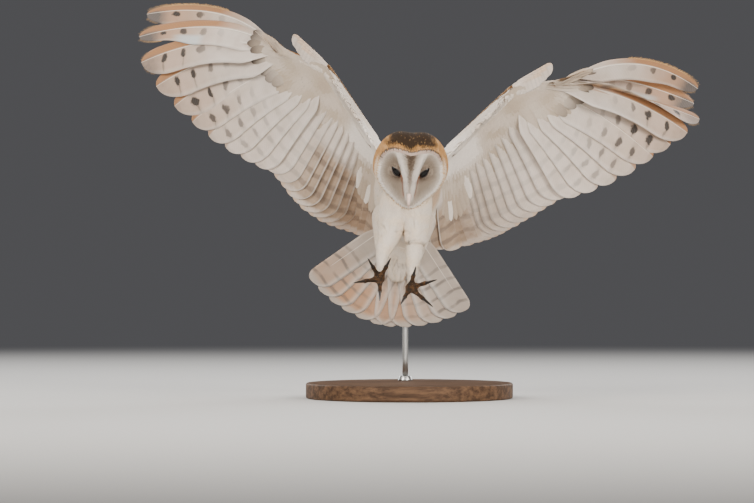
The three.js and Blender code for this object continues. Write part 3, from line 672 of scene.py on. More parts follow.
def armShapes(wing, grow):  # capsules along the three bones, and the fold between them
    shapes = []
    for start, end, w in (("shoulder", "elbow", 23), ("elbow", "wrist", 16), ("wrist", "fingertip", 5)):
        a, b = joint[start], joint[end]
        radii = np.array([limb[start], limb[end]]) + grow
        radii = np.interp([0, 0.5, 1], [0, 1], radii)
        shapes.append(capsule([a, (a + b) / 2, b], radii, radii * limb["flat"], wingNormal(wing, w), 16, 20))
    # the fold of skin ahead of the arm: a plate over the triangle of front, elbow and wrist
    u, v = np.meshgrid(np.linspace(0.03, 0.9, 30), np.linspace(0, 1, 12), indexing="ij")
    u, v = u[..., None], v[..., None]
    edge = blend(joint["front"], joint["wrist"], u)
    rear = np.where(u < 0.45, blend(joint["front"], joint["elbow"], u / 0.45),
                    blend(joint["elbow"], joint["wrist"], (u - 0.45) / 0.55))
    middle = blend(edge, rear, v)
    normal = unit(np.cross(joint["elbow"] - joint["front"], joint["wrist"] - joint["front"]))
    half = (blend(3, 7, np.clip(v * 1.6, 0, 1)) / 2 + grow * 0.45) * np.sqrt(np.clip(v * 6, 0.05, 1))
    ring = np.concatenate([middle + normal * half, (middle - normal * half)[:, ::-1]], 1)
    rows, sides = ring.shape[:2]
    caps = [np.stack([np.arange(11), np.arange(1, 12), 22 - np.arange(11), 23 - np.arange(11)], -1)]
    caps.append(caps[0][:, ::-1] + (rows - 1) * sides)
    shapes.append((ring.reshape(-1, 3), [gridFaces(rows, sides, True), *caps]))
    return shapes


toeSettings = {"root": 2.5, "bone": 0.62, "knuckle": 0.9, "forward": 17, "hook": 8}


def toeLine(leg, toe):
    # a toe leaves the foot outwards and bends forward, and its claw goes on from there
    angle, reach = toe
    out = np.array([np.cos(np.radians(angle)), 0, np.sin(np.radians(angle))])
    ahead = np.array([0, -1, 0])
    start = np.array(leg["foot"]) + out * toeSettings["root"] + ahead * 2
    bone, forward, hook = reach * toeSettings["bone"], toeSettings["forward"], toeSettings["hook"]
    end = start + out * bone + ahead * forward * 0.75
    return {"toe": [start, start + out * bone * 0.62 + ahead * 3, end],
            "claw": [end, start + out * reach * toeSettings["knuckle"] + ahead * (forward + hook * 0.7),
                     start + out * reach + ahead * (forward + hook * 1.7)]}


def legPoints(leg):  # hip, heel and foot
    start = [hip[0] * leg["mirror"], hip[1], hip[2]]
    return (np.array(place, float) for place in (start, leg["heel"], leg["foot"]))


def bent(controls, t):  # quadratic curve through three control points
    a, b, c = (np.asarray(p, float) for p in controls)
    t = np.asarray(t)[..., None]
    return a * (1 - t) ** 2 + b * 2 * t * (1 - t) + c * t * t


def legShapes(leg, grow):  # thigh, shank, the foot's ball and the toes with their knuckles
    start, heel, foot = legPoints(leg)
    knee = blend(start, heel, 0.5) + [0, -6, 2]
    thick = np.array([20, 15, 9.5]) + grow
    thin = np.array([9, 6.6, 4.4]) + grow * np.array([1, 0.9, 0.4])
    along = unit(foot - heel)
    ball = [5.6, 6.2, 5.6]
    shapes = [capsule([start, knee, heel], thick, thick, upward, 24, 24),
              capsule([heel, blend(heel, foot, 0.5), foot], thin, thin, upward, 20, 26),
              capsule([foot - along * 5, foot, foot + along * 5], ball, ball, upward, 16, 10, 1)]
    t = np.linspace(0, 1, 34)
    knuckles = 1 + 0.13 * np.sin(t * 3 * np.pi + 0.4)
    width = blend(3.5, 2.5, t) * knuckles * np.sqrt(np.clip((1.03 - t) * 9, 0, 1))
    for toe in leg["toes"]:
        shapes.append(tube(bent(toeLine(leg, toe)["toe"], t), width * 0.95, width, frontal, 14))
    return shapes


def breastShape(leg, grow):  # fills the hollow between the breast and the thigh
    x = leg["mirror"]
    foot = np.array(leg["foot"], float)
    path = [(7 * x, -24, -36), (12 * x, -22, -62), (15.5 * x, -29, -90),
            foot * [1, 0.58, 0.8], foot * [1, 0.76, 0.9]]
    size = np.array([22, 18.5, 13.5, 9, 6.2]) + grow
    return capsule(path, size, size, upward, 24, 30)


def mirroredShape(shape, mirror):  # on the right side the faces are turned over too
    points, faces = shape
    return (points, faces) if mirror > 0 else (mirrored(points, -1), [f[:, ::-1] for f in faces])


shapes = [headShape(-skinSettings["coat"]), bodyShape(spine["neck"], -skinSettings["coat"], 0.2),
          bodyShape(spine["trunk"], -skinSettings["coat"]), bodyShape(spine["undertail"], -2.5, 0.6)]
for wing in wings.values():
    shapes += [mirroredShape(shape, wing["mirror"]) for shape in armShapes(wing, -2.2)]
for leg in legs.values():
    shapes += [*legShapes(leg, -2.2), breastShape(leg, -2.6)]
shapes.append(bodyShape([(60, -74, 24, 12), (92, -90, 18, 10), (112, -122, 12, 6)], -2.0))
points, faces = joined(shapes)
raw = newPiece("rawSkin", points, faces, bpy.data.materials.new("raw"), "white_plumage")
remesh = raw.modifiers.new("remesh", "REMESH")
remesh.mode = "VOXEL"
remesh.voxel_size = skinSettings["voxel"]
remesh.use_smooth_shade = True
soften = raw.modifiers.new("soften", "SMOOTH")
soften.iterations = skinSettings["smooth"]
soften.factor = 0.5
skinMesh = bpy.data.meshes.new_from_object(raw.evaluated_get(bpy.context.evaluated_depsgraph_get()))
bpy.data.objects.remove(raw)
skinMesh.materials.clear()
skin = bpy.data.objects.new("skin", skinMesh)
scene.collection.objects.link(skin)
skinPoints = fromRow(read(skinMesh.vertices, "co", 3).reshape(-1, 3).astype(float))
print("skin", len(skinMesh.polygons), "faces")


def segmentGap(points, a, b):  # distance to the line from a to b, and how far along it
    a, b = np.asarray(a, float), np.asarray(b, float)
    t = np.clip(((points - a) @ (b - a)) / ((b - a) @ (b - a)), 0, 1)
    return np.linalg.norm(points - a - t[..., None] * (b - a), axis=-1), t


def regions(points):
    # for each point the part of the body it is on: the one whose surface is nearest
    x, forward, up = toHead(points)
    z, radius, _ = spinePlace(points)
    y = points[..., 1]
    gaps = {"head": np.maximum(np.hypot(x, up) - 40, np.maximum(forward - 26, -forward - 34)),
            "body": np.hypot(points[..., 0], points[..., 2] - z) - radius
            + np.clip(-y - 14, 0, None) + np.clip(y - 120, 0, None)}
    for side, wing in wings.items():
        q = mirrored(points, wing["mirror"])
        bones = (("shoulder", "elbow", 9), ("elbow", "wrist", 7), ("wrist", "fingertip", 5),
                 ("front", "wrist", 6))
        gaps["arm_" + side] = np.minimum.reduce([segmentGap(q, joint[a], joint[b])[0] - size
                                                 for a, b, size in bones])
    for side, leg in legs.items():
        start, heel, foot = legPoints(leg)
        d1, t1 = segmentGap(points, start, heel)
        d2, t2 = segmentGap(points, heel, foot)
        gaps["leg_" + side] = np.minimum(d1 - blend(17, 7, t1), d2 - blend(7, 3.5, t2))
        lines = [bent(toeLine(leg, toe)["toe"], np.array([0, 0.5, 1])) for toe in leg["toes"]]
        ends = [segmentGap(points, line[k], line[k + 1])[0] for line in lines for k in (0, 1)]
        ball = np.linalg.norm(points - foot, axis=-1) - 6.8
        gaps["foot_" + side] = np.minimum(np.minimum.reduce(ends) - 3.4, ball)
    return list(gaps), np.stack(list(gaps.values())).argmin(0)


def skinTint(points, names, which):  # each part of the body by its own tint
    colour = np.zeros(points.shape)
    for k, name in enumerate(names):
        here = points[which == k]
        kind, _, side = name.partition("_")
        if kind == "arm":
            colour[which == k] = armTint(mirrored(here, wings[side]["mirror"]), side)
        elif kind == "foot":
            colour[which == k] = plumage["bare"]
        else:
            colour[which == k] = {"head": headTint, "body": bodyTint, "leg": legTint}[kind](here)
    return colour


def featherFinish():
    # soft feathers: the tint, a little mottled, with barbs as fine bump and a soft sheen
    finish = Finish("softFeathers", Roughness=0.85, Specular_IOR_Level=0.12, Sheen_Weight=0.05,
                    Sheen_Roughness=0.4)
    shade = 0.90 + finish.noise(420.0) * 0.2
    mottle = finish.node("CombineColor", Red=shade, Green=shade, Blue=shade)
    return finish.set(Base_Color=finish.mix(1.0, finish.colour("tint"), mottle, "MULTIPLY"),
                      Normal=finish.bump(finish.noise(1500.0, 1.0), 0.25, 0.0006))


def skinFinish():
    # feathered skin, and bare brown scales on the toes
    finish = Finish("skinAndToes", Specular_IOR_Level=0.22)
    bare = finish.value("bare")
    crack = finish.node("TexVoronoi", {"feature": "DISTANCE_TO_EDGE"}, Vector=finish.place(), Scale=620.0)
    scale = crack.step(0.0, 0.16) * finish.value("scute").step(-0.75, -0.2)
    colour = finish.layers(finish.colour("tint"),
                           (finish.noise(260.0, 4.0).step(0.40, 0.72) * bare, (0.15, 0.066, 0.02)),
                           ((1 - scale) * bare * 0.75, (0.016, 0.010, 0.006)))
    return finish.set(Base_Color=colour, Roughness=0.8 - bare * 0.25,
                      Normal=finish.bump(scale * bare, 0.7, 0.0005))


soft = featherFinish()
names, which = regions(skinPoints)
feet = np.isin(which, [names.index("foot_left"), names.index("foot_right")])
scute = np.zeros(len(skinPoints))
for side, leg in legs.items():
    chosen = which == names.index("foot_" + side)
    along = np.zeros(chosen.sum())
    best = np.full(chosen.sum(), 1e9)
    for toe in leg["toes"]:
        line = bent(toeLine(leg, toe)["toe"], np.linspace(0, 1, 12))
        length = np.linalg.norm(np.diff(line, axis=0), axis=1)
        for k in range(11):
            gap, t = segmentGap(skinPoints[chosen], line[k], line[k + 1])
            nearer = gap < best
            best = np.where(nearer, gap, best)
            along = np.where(nearer, length[:k].sum() + t * length[k], along)
    scute[chosen] = np.sin(along * 2 * np.pi / 2.6)
giveValues(skinMesh, {"tint": skinTint(skinPoints, names, which), "bare": feet.astype(float), "scute": scute})
skinMesh.materials.append(skinFinish())
skinMesh.polygons.foreach_set("use_smooth", np.ones(len(skinMesh.polygons), bool))
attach(skin, "root")
fleshNodes = ["head", "neck", "trunk", "undertail"]
limbParts = {"wing": ("upper_arm", "forearm", "hand", "fold"),
             "leg": ("thigh", "shank", "foot", "toe_1", "toe_2", "toe_3", "toe_4")}
for side in wings:
    fleshNodes += [f"{kind}_{side}_{part}" for kind, parts in limbParts.items() for part in parts]
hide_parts(*fleshNodes)


# vanes: thin closed feathers on a curved middle line

def vaneFaces(rows):  # faces of one vane: rings of left edge, crest and right edge, then a tip
    r = np.arange(rows - 1)[:, None]
    a, b = 3 * r, 3 * (r + 1)
    quads = np.concatenate([np.concatenate([a + i, a + j, b + j, b + i], 1)
                            for i, j in ((0, 1), (1, 2), (2, 0))])
    end, tip = 3 * (rows - 1), 3 * rows
    tris = np.array([[end, end + 1, tip], [end + 1, end + 2, tip], [end + 2, end, tip], [0, 2, 1]])
    return quads, tris


patchSize = {"width": 0.0014, "length": 0.003}  # of one vane on the bake map


def vaneShells(middle, side, normal, halfWidth, crest):
    # middle line (n, rows + 1, 3), whose last point is the tip; the edges lie halfWidth to
    # each side and sag, the crest stands up by its height
    edge = side[:, :-1] * halfWidth[:, :-1, None]
    low = normal[:, :-1] * crest[:, :-1, None] * 0.4
    top = normal[:, :-1] * crest[:, :-1, None]
    rings = np.stack([middle[:, :-1] - edge - low, middle[:, :-1] + top, middle[:, :-1] + edge - low], 2)
    count, rows = rings.shape[:2]
    points = np.concatenate([rings.reshape(count, rows * 3, 3), middle[:, -1:]], 1)
    quads, tris = vaneFaces(rows)
    size = rows * 3 + 1
    return points.reshape(-1, 3), [tiled(quads, count, size), tiled(tris, count, size)]


def softShading(mesh, facing):
    # each corner shades the way its point faces, turned over on the undersides
    shade = facing[read(mesh.loops, "vertex_index", 1, np.int32)]
    flat = read(mesh.polygons, "normal", 3).reshape(-1, 3)
    sizes = read(mesh.polygons, "loop_total", 1, np.int32)
    shade = shade * np.where(dot(np.repeat(flat, sizes, axis=0), shade) < 0, -1, 1)
    mesh.normals_split_custom_set(shade)


def coatPiece(name, laid, rootTint, tipTint, tipFrom, bake, slot="white_plumage"):
    # one mesh of many vanes: tint runs from the root's to the tip's, and each vane is a
    # small patch of the bake map at its root's place
    middle, side, normal, halfWidth, crest = laid
    hand = np.sign((np.cross(np.gradient(middle, axis=1), side) * normal).sum((1, 2)))
    side = side * -hand[:, None, None]
    points, faces = vaneShells(middle, side, normal, halfWidth, crest)
    count, rows = middle.shape[0], middle.shape[1] - 1
    s = np.append(np.repeat(np.arange(rows), 3), rows) / rows
    fade = ease(s[None], np.reshape(tipFrom, (-1, 1)), 1)
    tint = blend(rootTint[:, None], tipTint[:, None], fade[..., None])
    across = np.append(np.tile([-1, 0, 1], rows), 0) * patchSize["width"]
    uv = bake[:, None] + np.stack([across, (s - 0.5) * patchSize["length"]], -1)[None]
    piece = newPiece(name, points, faces, soft, slot,
                     values={"tint": tint.reshape(-1, 3)}, bake=np.clip(uv.reshape(-1, 2), 0, 1))
    # shading follows the skin, rounded a little over each vane, so that the coat looks soft
    lean = side[:, :-1] * 0.32
    facing = np.stack([normal[:, :-1] - lean, normal[:, :-1], normal[:, :-1] + lean], 2)
    facing = np.concatenate([facing.reshape(count, rows * 3, 3), normal[:, -1:]], 1).reshape(-1, 3)
    softShading(piece.data, turned(unit(facing), "y", bird["roll"]))
    print(name, count, "feathers,", len(faces[0]) * 2 + len(faces[1]), "triangles")


def stacked(parts, mirror=1):  # groups of vanes as one, put on the given side
    middle, side, normal, *others = (np.concatenate(group) for group in zip(*parts))
    return [mirrored(a, mirror) for a in (middle, side, normal)] + others


def mottled(tint, low, high):  # each feather a little darker or lighter
    return tint * rng.uniform(low, high, (len(tint), 1))


def onSkin(points):  # nearest places on the skin, and the way out of it there
    found = []
    for lift in (0.0, 0.0005):
        mesh = bpy.data.meshes.new("probe")
        mesh.vertices.add(points.shape[0] * points.shape[1])
        mesh.vertices.foreach_set("co", inRow(points).astype(np.float32).ravel())
        probe = bpy.data.objects.new("probe", mesh)
        scene.collection.objects.link(probe)
        wrap = probe.modifiers.new("wrap", "SHRINKWRAP")
        wrap.target = skin
        wrap.wrap_mode = "ABOVE_SURFACE"
        wrap.offset = lift
        bpy.context.view_layer.update()
        settled = probe.evaluated_get(bpy.context.evaluated_depsgraph_get()).data
        found.append(fromRow(read(settled.vertices, "co", 3).reshape(points.shape).astype(float)))
        bpy.data.objects.remove(probe)
    return found[0], unit(found[1] - found[0])


quads = read(skinMesh.loops, "vertex_index", 1, np.int32).reshape(-1, 4)
quadCentres = skinPoints[quads].mean(1)
quadWhich = which[quads[:, 0]]


def rootsOn(region, spacing, keep=None):
    # one face of the skin in each cell of a lattice, so that roots are evenly spread
    chosen = np.flatnonzero(quadWhich == names.index(region))
    chosen = chosen[rng.permutation(len(chosen))]
    if keep is not None:
        chosen = chosen[keep(quadCentres[chosen])]
    cells = np.floor(quadCentres[chosen] / spacing + 1000).astype(np.int64)
    keys = (cells[:, 0] * 4096 + cells[:, 1]) * 4096 + cells[:, 2]
    return quadCentres[chosen[np.unique(keys, return_index=True)[1]]]


def layOver(roots, flow, length, width, lift, spread=0.12):
    # vanes that leave the skin at their roots, rise to the coat's depth and follow the skin
    count = len(roots)
    s = np.linspace(0, 1, 5)
    start, normal = onSkin(roots[:, None])
    flow = flow + rng.normal(size=(count, 3)) * spread
    flow = unit(flow - normal[:, 0] * dot(flow, normal[:, 0]))
    length = (length * rng.uniform(0.85, 1.15, count))[:, None]
    straight = start + flow[:, None] * (length * s)[..., None]
    settled, out = onSkin(straight)
    height = np.reshape(lift, (-1, 1)) * (1 - (1 - s) ** 2) - 0.3
    middle = settled + out * (height * np.ones((count, 1)))[..., None]
    along = unit(np.gradient(middle, axis=1))
    side = unit(np.cross(along, out))
    profile = np.sqrt(np.clip(1 - s ** 2.6, 0, 1)) * (0.55 + 0.45 * ease(s, 0, 0.35))
    profile[:-1] = np.maximum(profile[:-1], 0.2)
    half = np.asarray(width).reshape(-1, 1) / 2 * profile * np.ones((count, 1))
    crest = half * 0.16 + 0.05
    return middle, side, out, half, crest


# flight feathers

blades = {"rows": 30, "columns": (-1, -0.72, -0.4, -0.1, 0, 0.08, 0.25, 0.45, 0.65, 0.84, 1),
          "thickness": 0.42, "tilt": 0.05, "shaftRadius": (1.15, 0.3)}


def bladeShells(shaft, inner, under, lead, trail, v, reach, number):
    # each blade: a grid across the shaft, its leading edge back and its inner vane forward
    # of the next feather's, two faces close together, and a round shaft down the middle
    count, rows = shaft.shape[:2]
    c = np.array(blades["columns"])
    offset = np.where(c < 0, lead[..., None], trail[..., None]) * c
    sag = blades["tilt"] * offset + 0.006 * offset ** 2 * np.sign(c) * 0.2
    middle = shaft[:, :, None] + inner[:, :, None] * offset[..., None] + under[:, :, None] * sag[..., None]
    half = under[:, :, None] * (blades["thickness"] / 2 * (1.25 - abs(c)))[:, None]
    ring = np.concatenate([middle + half, (middle - half)[:, :, ::-1]], 2)
    sides = ring.shape[2]
    wide = sides // 2
    quads = gridFaces(rows, sides, True)
    k = np.arange(wide - 1)
    cap = np.stack([k, k + 1, sides - 2 - k, sides - 1 - k], -1)
    quads = np.concatenate([quads[:, ::-1], cap, (cap + (rows - 1) * sides)[:, ::-1]])
    # feathers whose inner vane lies to the other hand get their faces turned over
    ahead = shaft[:, -1] - shaft[:, 0]
    other = (np.cross(inner[:, rows // 2], under[:, rows // 2]) * ahead).sum(-1) < 0
    outwards = lambda cells: np.where(other[:, None, None], cells.reshape(count, -1, 4)[..., ::-1],
                                      cells.reshape(count, -1, 4)).reshape(-1, 4)
    faces = outwards(tiled(quads, count, rows * sides))
    both = np.concatenate([c, c[::-1]])
    # shafts: six-sided tapered tubes, sunk by half in both faces
    turn = np.arange(6) / 6 * 2 * np.pi
    taper = blend(*blades["shaftRadius"], v)[None, :, None, None] * (reach / 200)[:, None, None, None]
    around = under[:, :, None] * np.sin(turn)[:, None] + inner[:, :, None] * np.cos(turn)[:, None]
    tubes = shaft[:, :, None] + around * taper
    ends = np.array([[0, 1, 2, 3], [0, 3, 4, 5]])
    cells = np.concatenate([gridFaces(rows, 6, True), ends[:, ::-1], ends + (rows - 1) * 6])
    tubeFaces = outwards(tiled(cells, count, rows * 6)) + count * rows * sides
    far = abs(np.concatenate([offset, offset[:, :, ::-1]], 2))
    top = np.arange(sides) < wide
    tubeTop = np.sin(turn) > 0

    def onBoth(onBlade, onShaft):  # a value of every point, blades first and shafts after
        return np.concatenate([np.broadcast_to(onBlade, (count, rows, sides)).ravel(),
                               np.broadcast_to(onShaft, (count, rows, 6)).ravel()]).astype(float)

    place, order = v[None, :, None], number[:, None, None]
    values = {"along": onBoth(place, place), "across": onBoth(both, 0), "number": onBoth(order, order),
              "barb": onBoth(place * reach[:, None, None] - far * 0.95, 0),
              "under": onBoth(top, tubeTop), "quill": onBoth(0, 1)}
    points = np.concatenate([ring.reshape(-1, 3), tubes.reshape(-1, 3)])
    # bake map: a strip for each feather, its two faces side by side
    strip = (order - number.min()) / count
    u = onBoth(strip + ((both + 1) / 2 * 0.46 + np.where(top, 0, 0.5)) / count,
               strip + np.where(tubeTop, 0.23, 0.73) / count)
    bake = np.stack([u, values["along"]], -1)
    return points, [np.concatenate([faces, tubeFaces])], values, bake * 0.98 + 0.01


def vaneWidth(v, width, reach, base, blunt):
    # full width for most of the length, narrow at the base and rounded off at the tip
    tip = np.clip((v - (1 - blunt * width / reach)) / (blunt * width / reach), 0, 1)
    return width * blend(base, 1, ease(v, 0.03, 0.3)) * np.sqrt(np.clip(1 - tip ** 2.2, 0, 1)) + 0.05


def stationRows(rows):  # places along a feather, closer together towards the tip
    return 1 - (1 - np.linspace(0.012, 1, rows)) ** 1.6


wingBlades = {
    "lead": [(0, 7), (1, 9.5), (3, 11), (9, 11), (12, 12), (21, 12), (25, 14)],
    "trail": [(0, 19), (1, 24), (2, 28), (5, 29), (9, 27), (12, 25), (21, 25), (25, 24)],
    "blunt": [(0, 1.9), (3, 1.5), (9, 1.1), (12, 0.9), (25, 0.9)],
    "narrowed": {"left": [(0, 0.25), (1, 0.3), (2, 0.0)], "right": [(0, 0.1), (1, 0.45), (2, 0.0)]},
}


def vaneFinish(name):
    # a large feather's material and what it reads: the place along the feather and across its
    # vanes from -1 to 1, the feather's number, its underside, its quill and its barbs
    finish = Finish(name, Roughness=0.62, Specular_IOR_Level=0.25, Sheen_Weight=0.15)
    return finish, *(finish.value(key) for key in ("along", "across", "number", "under", "quill", "barb"))


def ripple(barb, size):  # a sine wave of the given size in mm
    return (barb * (2 * np.pi / size)).math("SINE")


def barbed(finish, colour, quill, lines, dark, depth):
    # lines along the barbs stand up a little; the dark ones are tinted by the given depth
    colour = finish.mix((dark * 0.5 + 0.5) * depth * (1 - quill), colour, (0.36, 0.31, 0.27))
    return finish.set(Base_Color=colour, Normal=finish.bump(lines * (1 - quill), 0.35, 0.0003))


def bladeFinish():
    # underside: pale, with buff leading vanes, grey spots that fade inwards and tan patches
    # with dark edges on the innermost feathers; upper side: golden buff with grey bars
    finish, along, across, number, under, quill, barb = vaneFinish("flightFeather")
    soft, rough, fine = finish.noise(55.0, 3.0), finish.noise(190.0, 4.0), finish.noise(600.0)
    uneven = rough - 0.5
    outer = (8.5 - number).step(0, 5.5)
    first = (1.2 - number).step(0.0, 1.0)  # the outermost feather's bars are further apart
    phase = (along - 0.86 + first * 0.04 + (soft - 0.5) * 0.07) / (0.127 + first * 0.035)
    offBar = abs(phase - round(phase))
    bar = 1 - offBar.step(0.10, 0.24)
    # spots: rough blots beside the shaft on the inner vane, with a thin streak outwards
    offAcross = abs(across - 0.24 - number.step(2.0, 6.5) * 0.34 + uneven * 0.25)
    blotSize = (offBar * 5.6 + uneven * 0.9) ** 2.0 + (offAcross * 4.2) ** 2.0
    blot = (1 - blotSize.step(0.35, 1.15)) * along.step(0.34, 0.80)
    streak = (1 - abs(offBar + uneven * 0.10).step(0.02, 0.09)) * across.step(0.15, 0.3)
    streak = streak * (1 - across.step(0.75, 1.0)) * along.step(0.6, 0.8) * number.step(1.2, 2.0) * 0.45
    spot = (blot + streak).clamp() * (0.18 + outer * 0.82)
    spot = spot * (1 - along.step(0.93, 0.97)) * (9.5 - number).step(0, 1.5)
    faint = bar * along.step(0.25, 0.7) * 0.13 * number.step(2.0, 4.0)
    leadVane = 1 - across.step(-0.32, 0.02)
    base = finish.mix(soft.step(0.3, 0.75) * 0.5, (0.74, 0.645, 0.565), (0.56, 0.46, 0.375))
    warm = along.step(0.45, 0.95) * 0.22 + leadVane * (along.step(0.12, 0.6)) * 0.85
    peach = (2.4 - number).step(0.0, 1.2) * 0.3 + (7.0 - number).step(0.0, 3.0) * 0.22
    peach = peach * along.step(0.4, 0.8)
    tipGrey = along.step(0.83, 0.97) * outer * across.step(-0.7, 0.2) * (0.45 + rough * 0.8)
    # painted light: a pale patch where the second feather's inner vane lets the light through
    paintedLightWindow = across.step(0.35, 0.6) * along.step(0.55, 0.63) * (1 - along.step(0.72, 0.82))
    paintedLightWindow = paintedLightWindow * (1 - abs(number - 1).step(0.2, 0.5))
    # tan patches of the innermost secondaries and the tertials
    tan = finish.value("tanned") * along.step(0.44, 0.56) * (1 - along.step(0.93, 0.98))
    tile = finish.mix(soft.step(0.35, 0.65), (0.43, 0.305, 0.205), (0.32, 0.22, 0.145))
    tile = finish.layers(tile, ((14.5 - number).step(0.0, 4.0) * 0.5, (0.52, 0.42, 0.33)),
                         (bar * 0.75, (0.19, 0.13, 0.09)))
    below = finish.layers(
        base,
        ((warm * (0.30 + outer * 0.8) + peach).clamp(), (0.42, 0.20, 0.08)),
        (across.step(0.72, 1.0) * 0.4, (0.86, 0.79, 0.72)),
        (leadVane * number.step(9.0, 12.0) * along.step(0.5, 0.8) * 0.5, (0.74, 0.52, 0.34)),
        ((tipGrey * (2.6 - number).step(0.0, 1.4) * 1.2 + tipGrey * 0.30).clamp(), (0.12, 0.10, 0.09)),
        (paintedLightWindow * 0.7, (0.66, 0.74, 0.76)),
        ((spot + faint).clamp(), (0.03, 0.022, 0.018)),
        ((tan * (1 - across.step(0.88, 0.99)) * (0.62 + rough * 0.8)).clamp(), tile))
    veil = fine.step(0.42, 0.62) * soft.step(0.3, 0.7)
    above = finish.layers(
        (0.50, 0.275, 0.11),
        (veil * 0.75, (0.235, 0.20, 0.175)),
        (across.step(0.45, 1.0) * 0.75, (0.72, 0.64, 0.54)),
        (bar * 0.7 * (1 - across.step(0.7, 1.0) * 0.6), (0.10, 0.07, 0.05)),
        (along.step(0.93, 1.0) * 0.6, (0.42, 0.37, 0.33)))
    colour = finish.mix(under, above, below)
    paleQuill = finish.mix(number.step(11, 14), (0.84, 0.77, 0.68), (0.46, 0.36, 0.27))
    colour = finish.mix(quill, colour, finish.mix(under, (0.20, 0.12, 0.06), paleQuill))
    lines = ripple(barb, 1.5)
    return barbed(finish, colour, quill, lines, lines * 0.5 + ripple(barb, 4.1) * 0.5, 0.16)


def vaneEdges(side, number, v, bases):  # widths of a wing feather's two vanes along it
    reach, blunt = lengthOf(number), through(wingBlades["blunt"], number)
    lead = vaneWidth(v, through(wingBlades["lead"], number), reach, bases[0], blunt * 1.6)
    trail = vaneWidth(v, through(wingBlades["trail"], number), reach, bases[1], blunt * 1.1)
    narrowed = np.interp(number, *np.array(wingBlades["narrowed"][side]).T)
    return lead, trail * (1 - narrowed * ease(v, 0.62, 0.86))


bladeMaterial = bladeFinish()
for side, wing in wings.items():
    number = np.arange(len(featherLengths), dtype=float)
    v = stationRows(blades["rows"])
    shaft, along, inner, under = wingFrame(wing, *np.broadcast_arrays(number[:, None], v[None]))
    shaft = shaft - under * 2.5 * (1 - ease(v, 0, 0.25))[None, :, None]  # roots sunk in the flesh
    lead, trail = vaneEdges(side, number[:, None], v[None], (0.14, 0.12))
    points, faces, values, bake = bladeShells(shaft, inner, under, lead, trail, v, featherLengths, number)
    k = values["number"]
    tanned = {"right": ease(k, 9.8, 12.4), "left": 0.3 * ease(k, 12, 15) + 0.7 * ease(k, 17, 22)}
    values["tanned"] = tanned[side]
    points, faces = mirroredShape((points, faces), wing["mirror"])
    newPiece(f"flight_feathers_{side}", points, faces, bladeMaterial, "flight_feathers",
             [f"wing_{side}_{part}" for part in ("primaries", "secondaries", "tertials")], values, bake)


def barbRow(shaft, along, inner, under, edge, v, span, count, length, lean, side):
    # thin barbs rooted on a vane's edge: they point along the feather and lean outwards
    at = np.linspace(*span, count) + rng.uniform(-0.4, 0.4, count) * (span[1] - span[0]) / count
    shaft, along, inner, under = (np.stack([np.interp(at, v, values[:, i]) for i in range(3)], -1)
                                  for values in (shaft, along, inner, under))
    root = shaft + inner * side * (np.interp(at, v, edge) - 0.8)[:, None]
    way = unit(along + inner * side * lean)
    s = np.linspace(0, 1, 4)
    reach = length * rng.uniform(0.7, 1.1, count)
    middle = root[:, None] + way[:, None] * (s * reach[:, None])[..., None] + under[:, None] * 0.1
    across = np.broadcast_to(unit(np.cross(way, under))[:, None], middle.shape)
    out = np.broadcast_to(under[:, None], middle.shape)
    half = 0.42 * (1 - s * 0.8) + 0 * middle[..., 0]
    return middle, across, out, half, half * 0.3 + 0.04, at


# rows of barbs on the three outermost feathers: for each feather the edge (-1 leading, 1
# trailing), where it starts and ends, how many barbs, how long they are and how far they lean
barbRows = {
    0: [(-1, (0.45, 0.985), 90, 5.2, 0.75), (1, (0.93, 0.99), 16, 4.5, 0.5)],
    1: [(-1, (0.9, 0.99), 16, 4.5, 0.5), (1, (0.86, 0.99), 30, 5.0, 0.45)],
    2: [(-1, (0.95, 0.99), 8, 3.5, 0.5), (1, (0.93, 0.99), 12, 3.5, 0.4)],
}
for side, wing in wings.items():
    v = stationRows(blades["rows"])
    parts = []
    for number, rows in barbRows.items():
        feather = wingFrame(wing, np.full_like(v, number), v)
        lead, trail = vaneEdges(side, number, v, (0.5, 0.45))
        for way, span, count, length, lean in rows:
            *laid, at = barbRow(*feather, lead if way < 0 else trail, v, span, count, length, lean, way)
            tint = tinted("paleGold", "grey", ease(at, 0.86, 0.95) * 0.7)
            bake = np.stack([at, np.full(count, 0.15 + 0.3 * number + 0.1 * way)], -1)
            parts.append((*laid, tint, bake))
    *laid, tint, bake = stacked(parts, wing["mirror"])
    coatPiece("wing_barbs_" + side, laid, tint, tint * 0.8, 0.5, bake, "flight_feathers")
print("flight feathers made")


# tail

tailBlades = {"lead": 10, "trail": 21, "blunt": 0.9}


def tailPoint(turn, reach):
    # fan of the given radius, its sides curled forward; then tilted, turned and put in place
    curl = tail["dome"] * turn ** 2 * (reach - tail["rootRadius"]) / (tail["length"] - tail["rootRadius"]) * 2
    local = np.stack([reach * np.sin(turn), -curl, -reach * np.cos(turn)], -1)
    return turned(turned(local, "x", tail["tilt"]), "y", tail["yaw"]) + tail["root"]


count = tail["feathers"]
turns = np.radians((np.arange(count) + 0.5) / count - 0.5) * tail["spread"]
outward = np.sign(turns)[:, None, None]
v = stationRows(blades["rows"])
reach = (tail["length"] - tail["rootRadius"]) * (1 - 0.06 * abs(turns)) - 1
distance = tail["rootRadius"] + reach[:, None] * v[None]
angle = np.broadcast_to(turns[:, None], distance.shape)
shaft = tailPoint(angle, distance)
along = unit(tailPoint(angle, distance + 1) - tailPoint(angle, distance - 1))
inner = unit(tailPoint(angle - 0.01, distance) - tailPoint(angle + 0.01, distance)) * outward
under = np.cross(along, inner)
under = under * np.where(under[..., 1:2] > 0, -1, 1)
lead = vaneWidth(v[None], tailBlades["lead"], reach[:, None], 0.4, 1.3)
trail = vaneWidth(v[None], tailBlades["trail"], reach[:, None], 0.35, tailBlades["blunt"])
order = np.arange(count, dtype=float)
points, faces, values, bake = bladeShells(shaft, inner, under, lead, trail, v, reach, order)


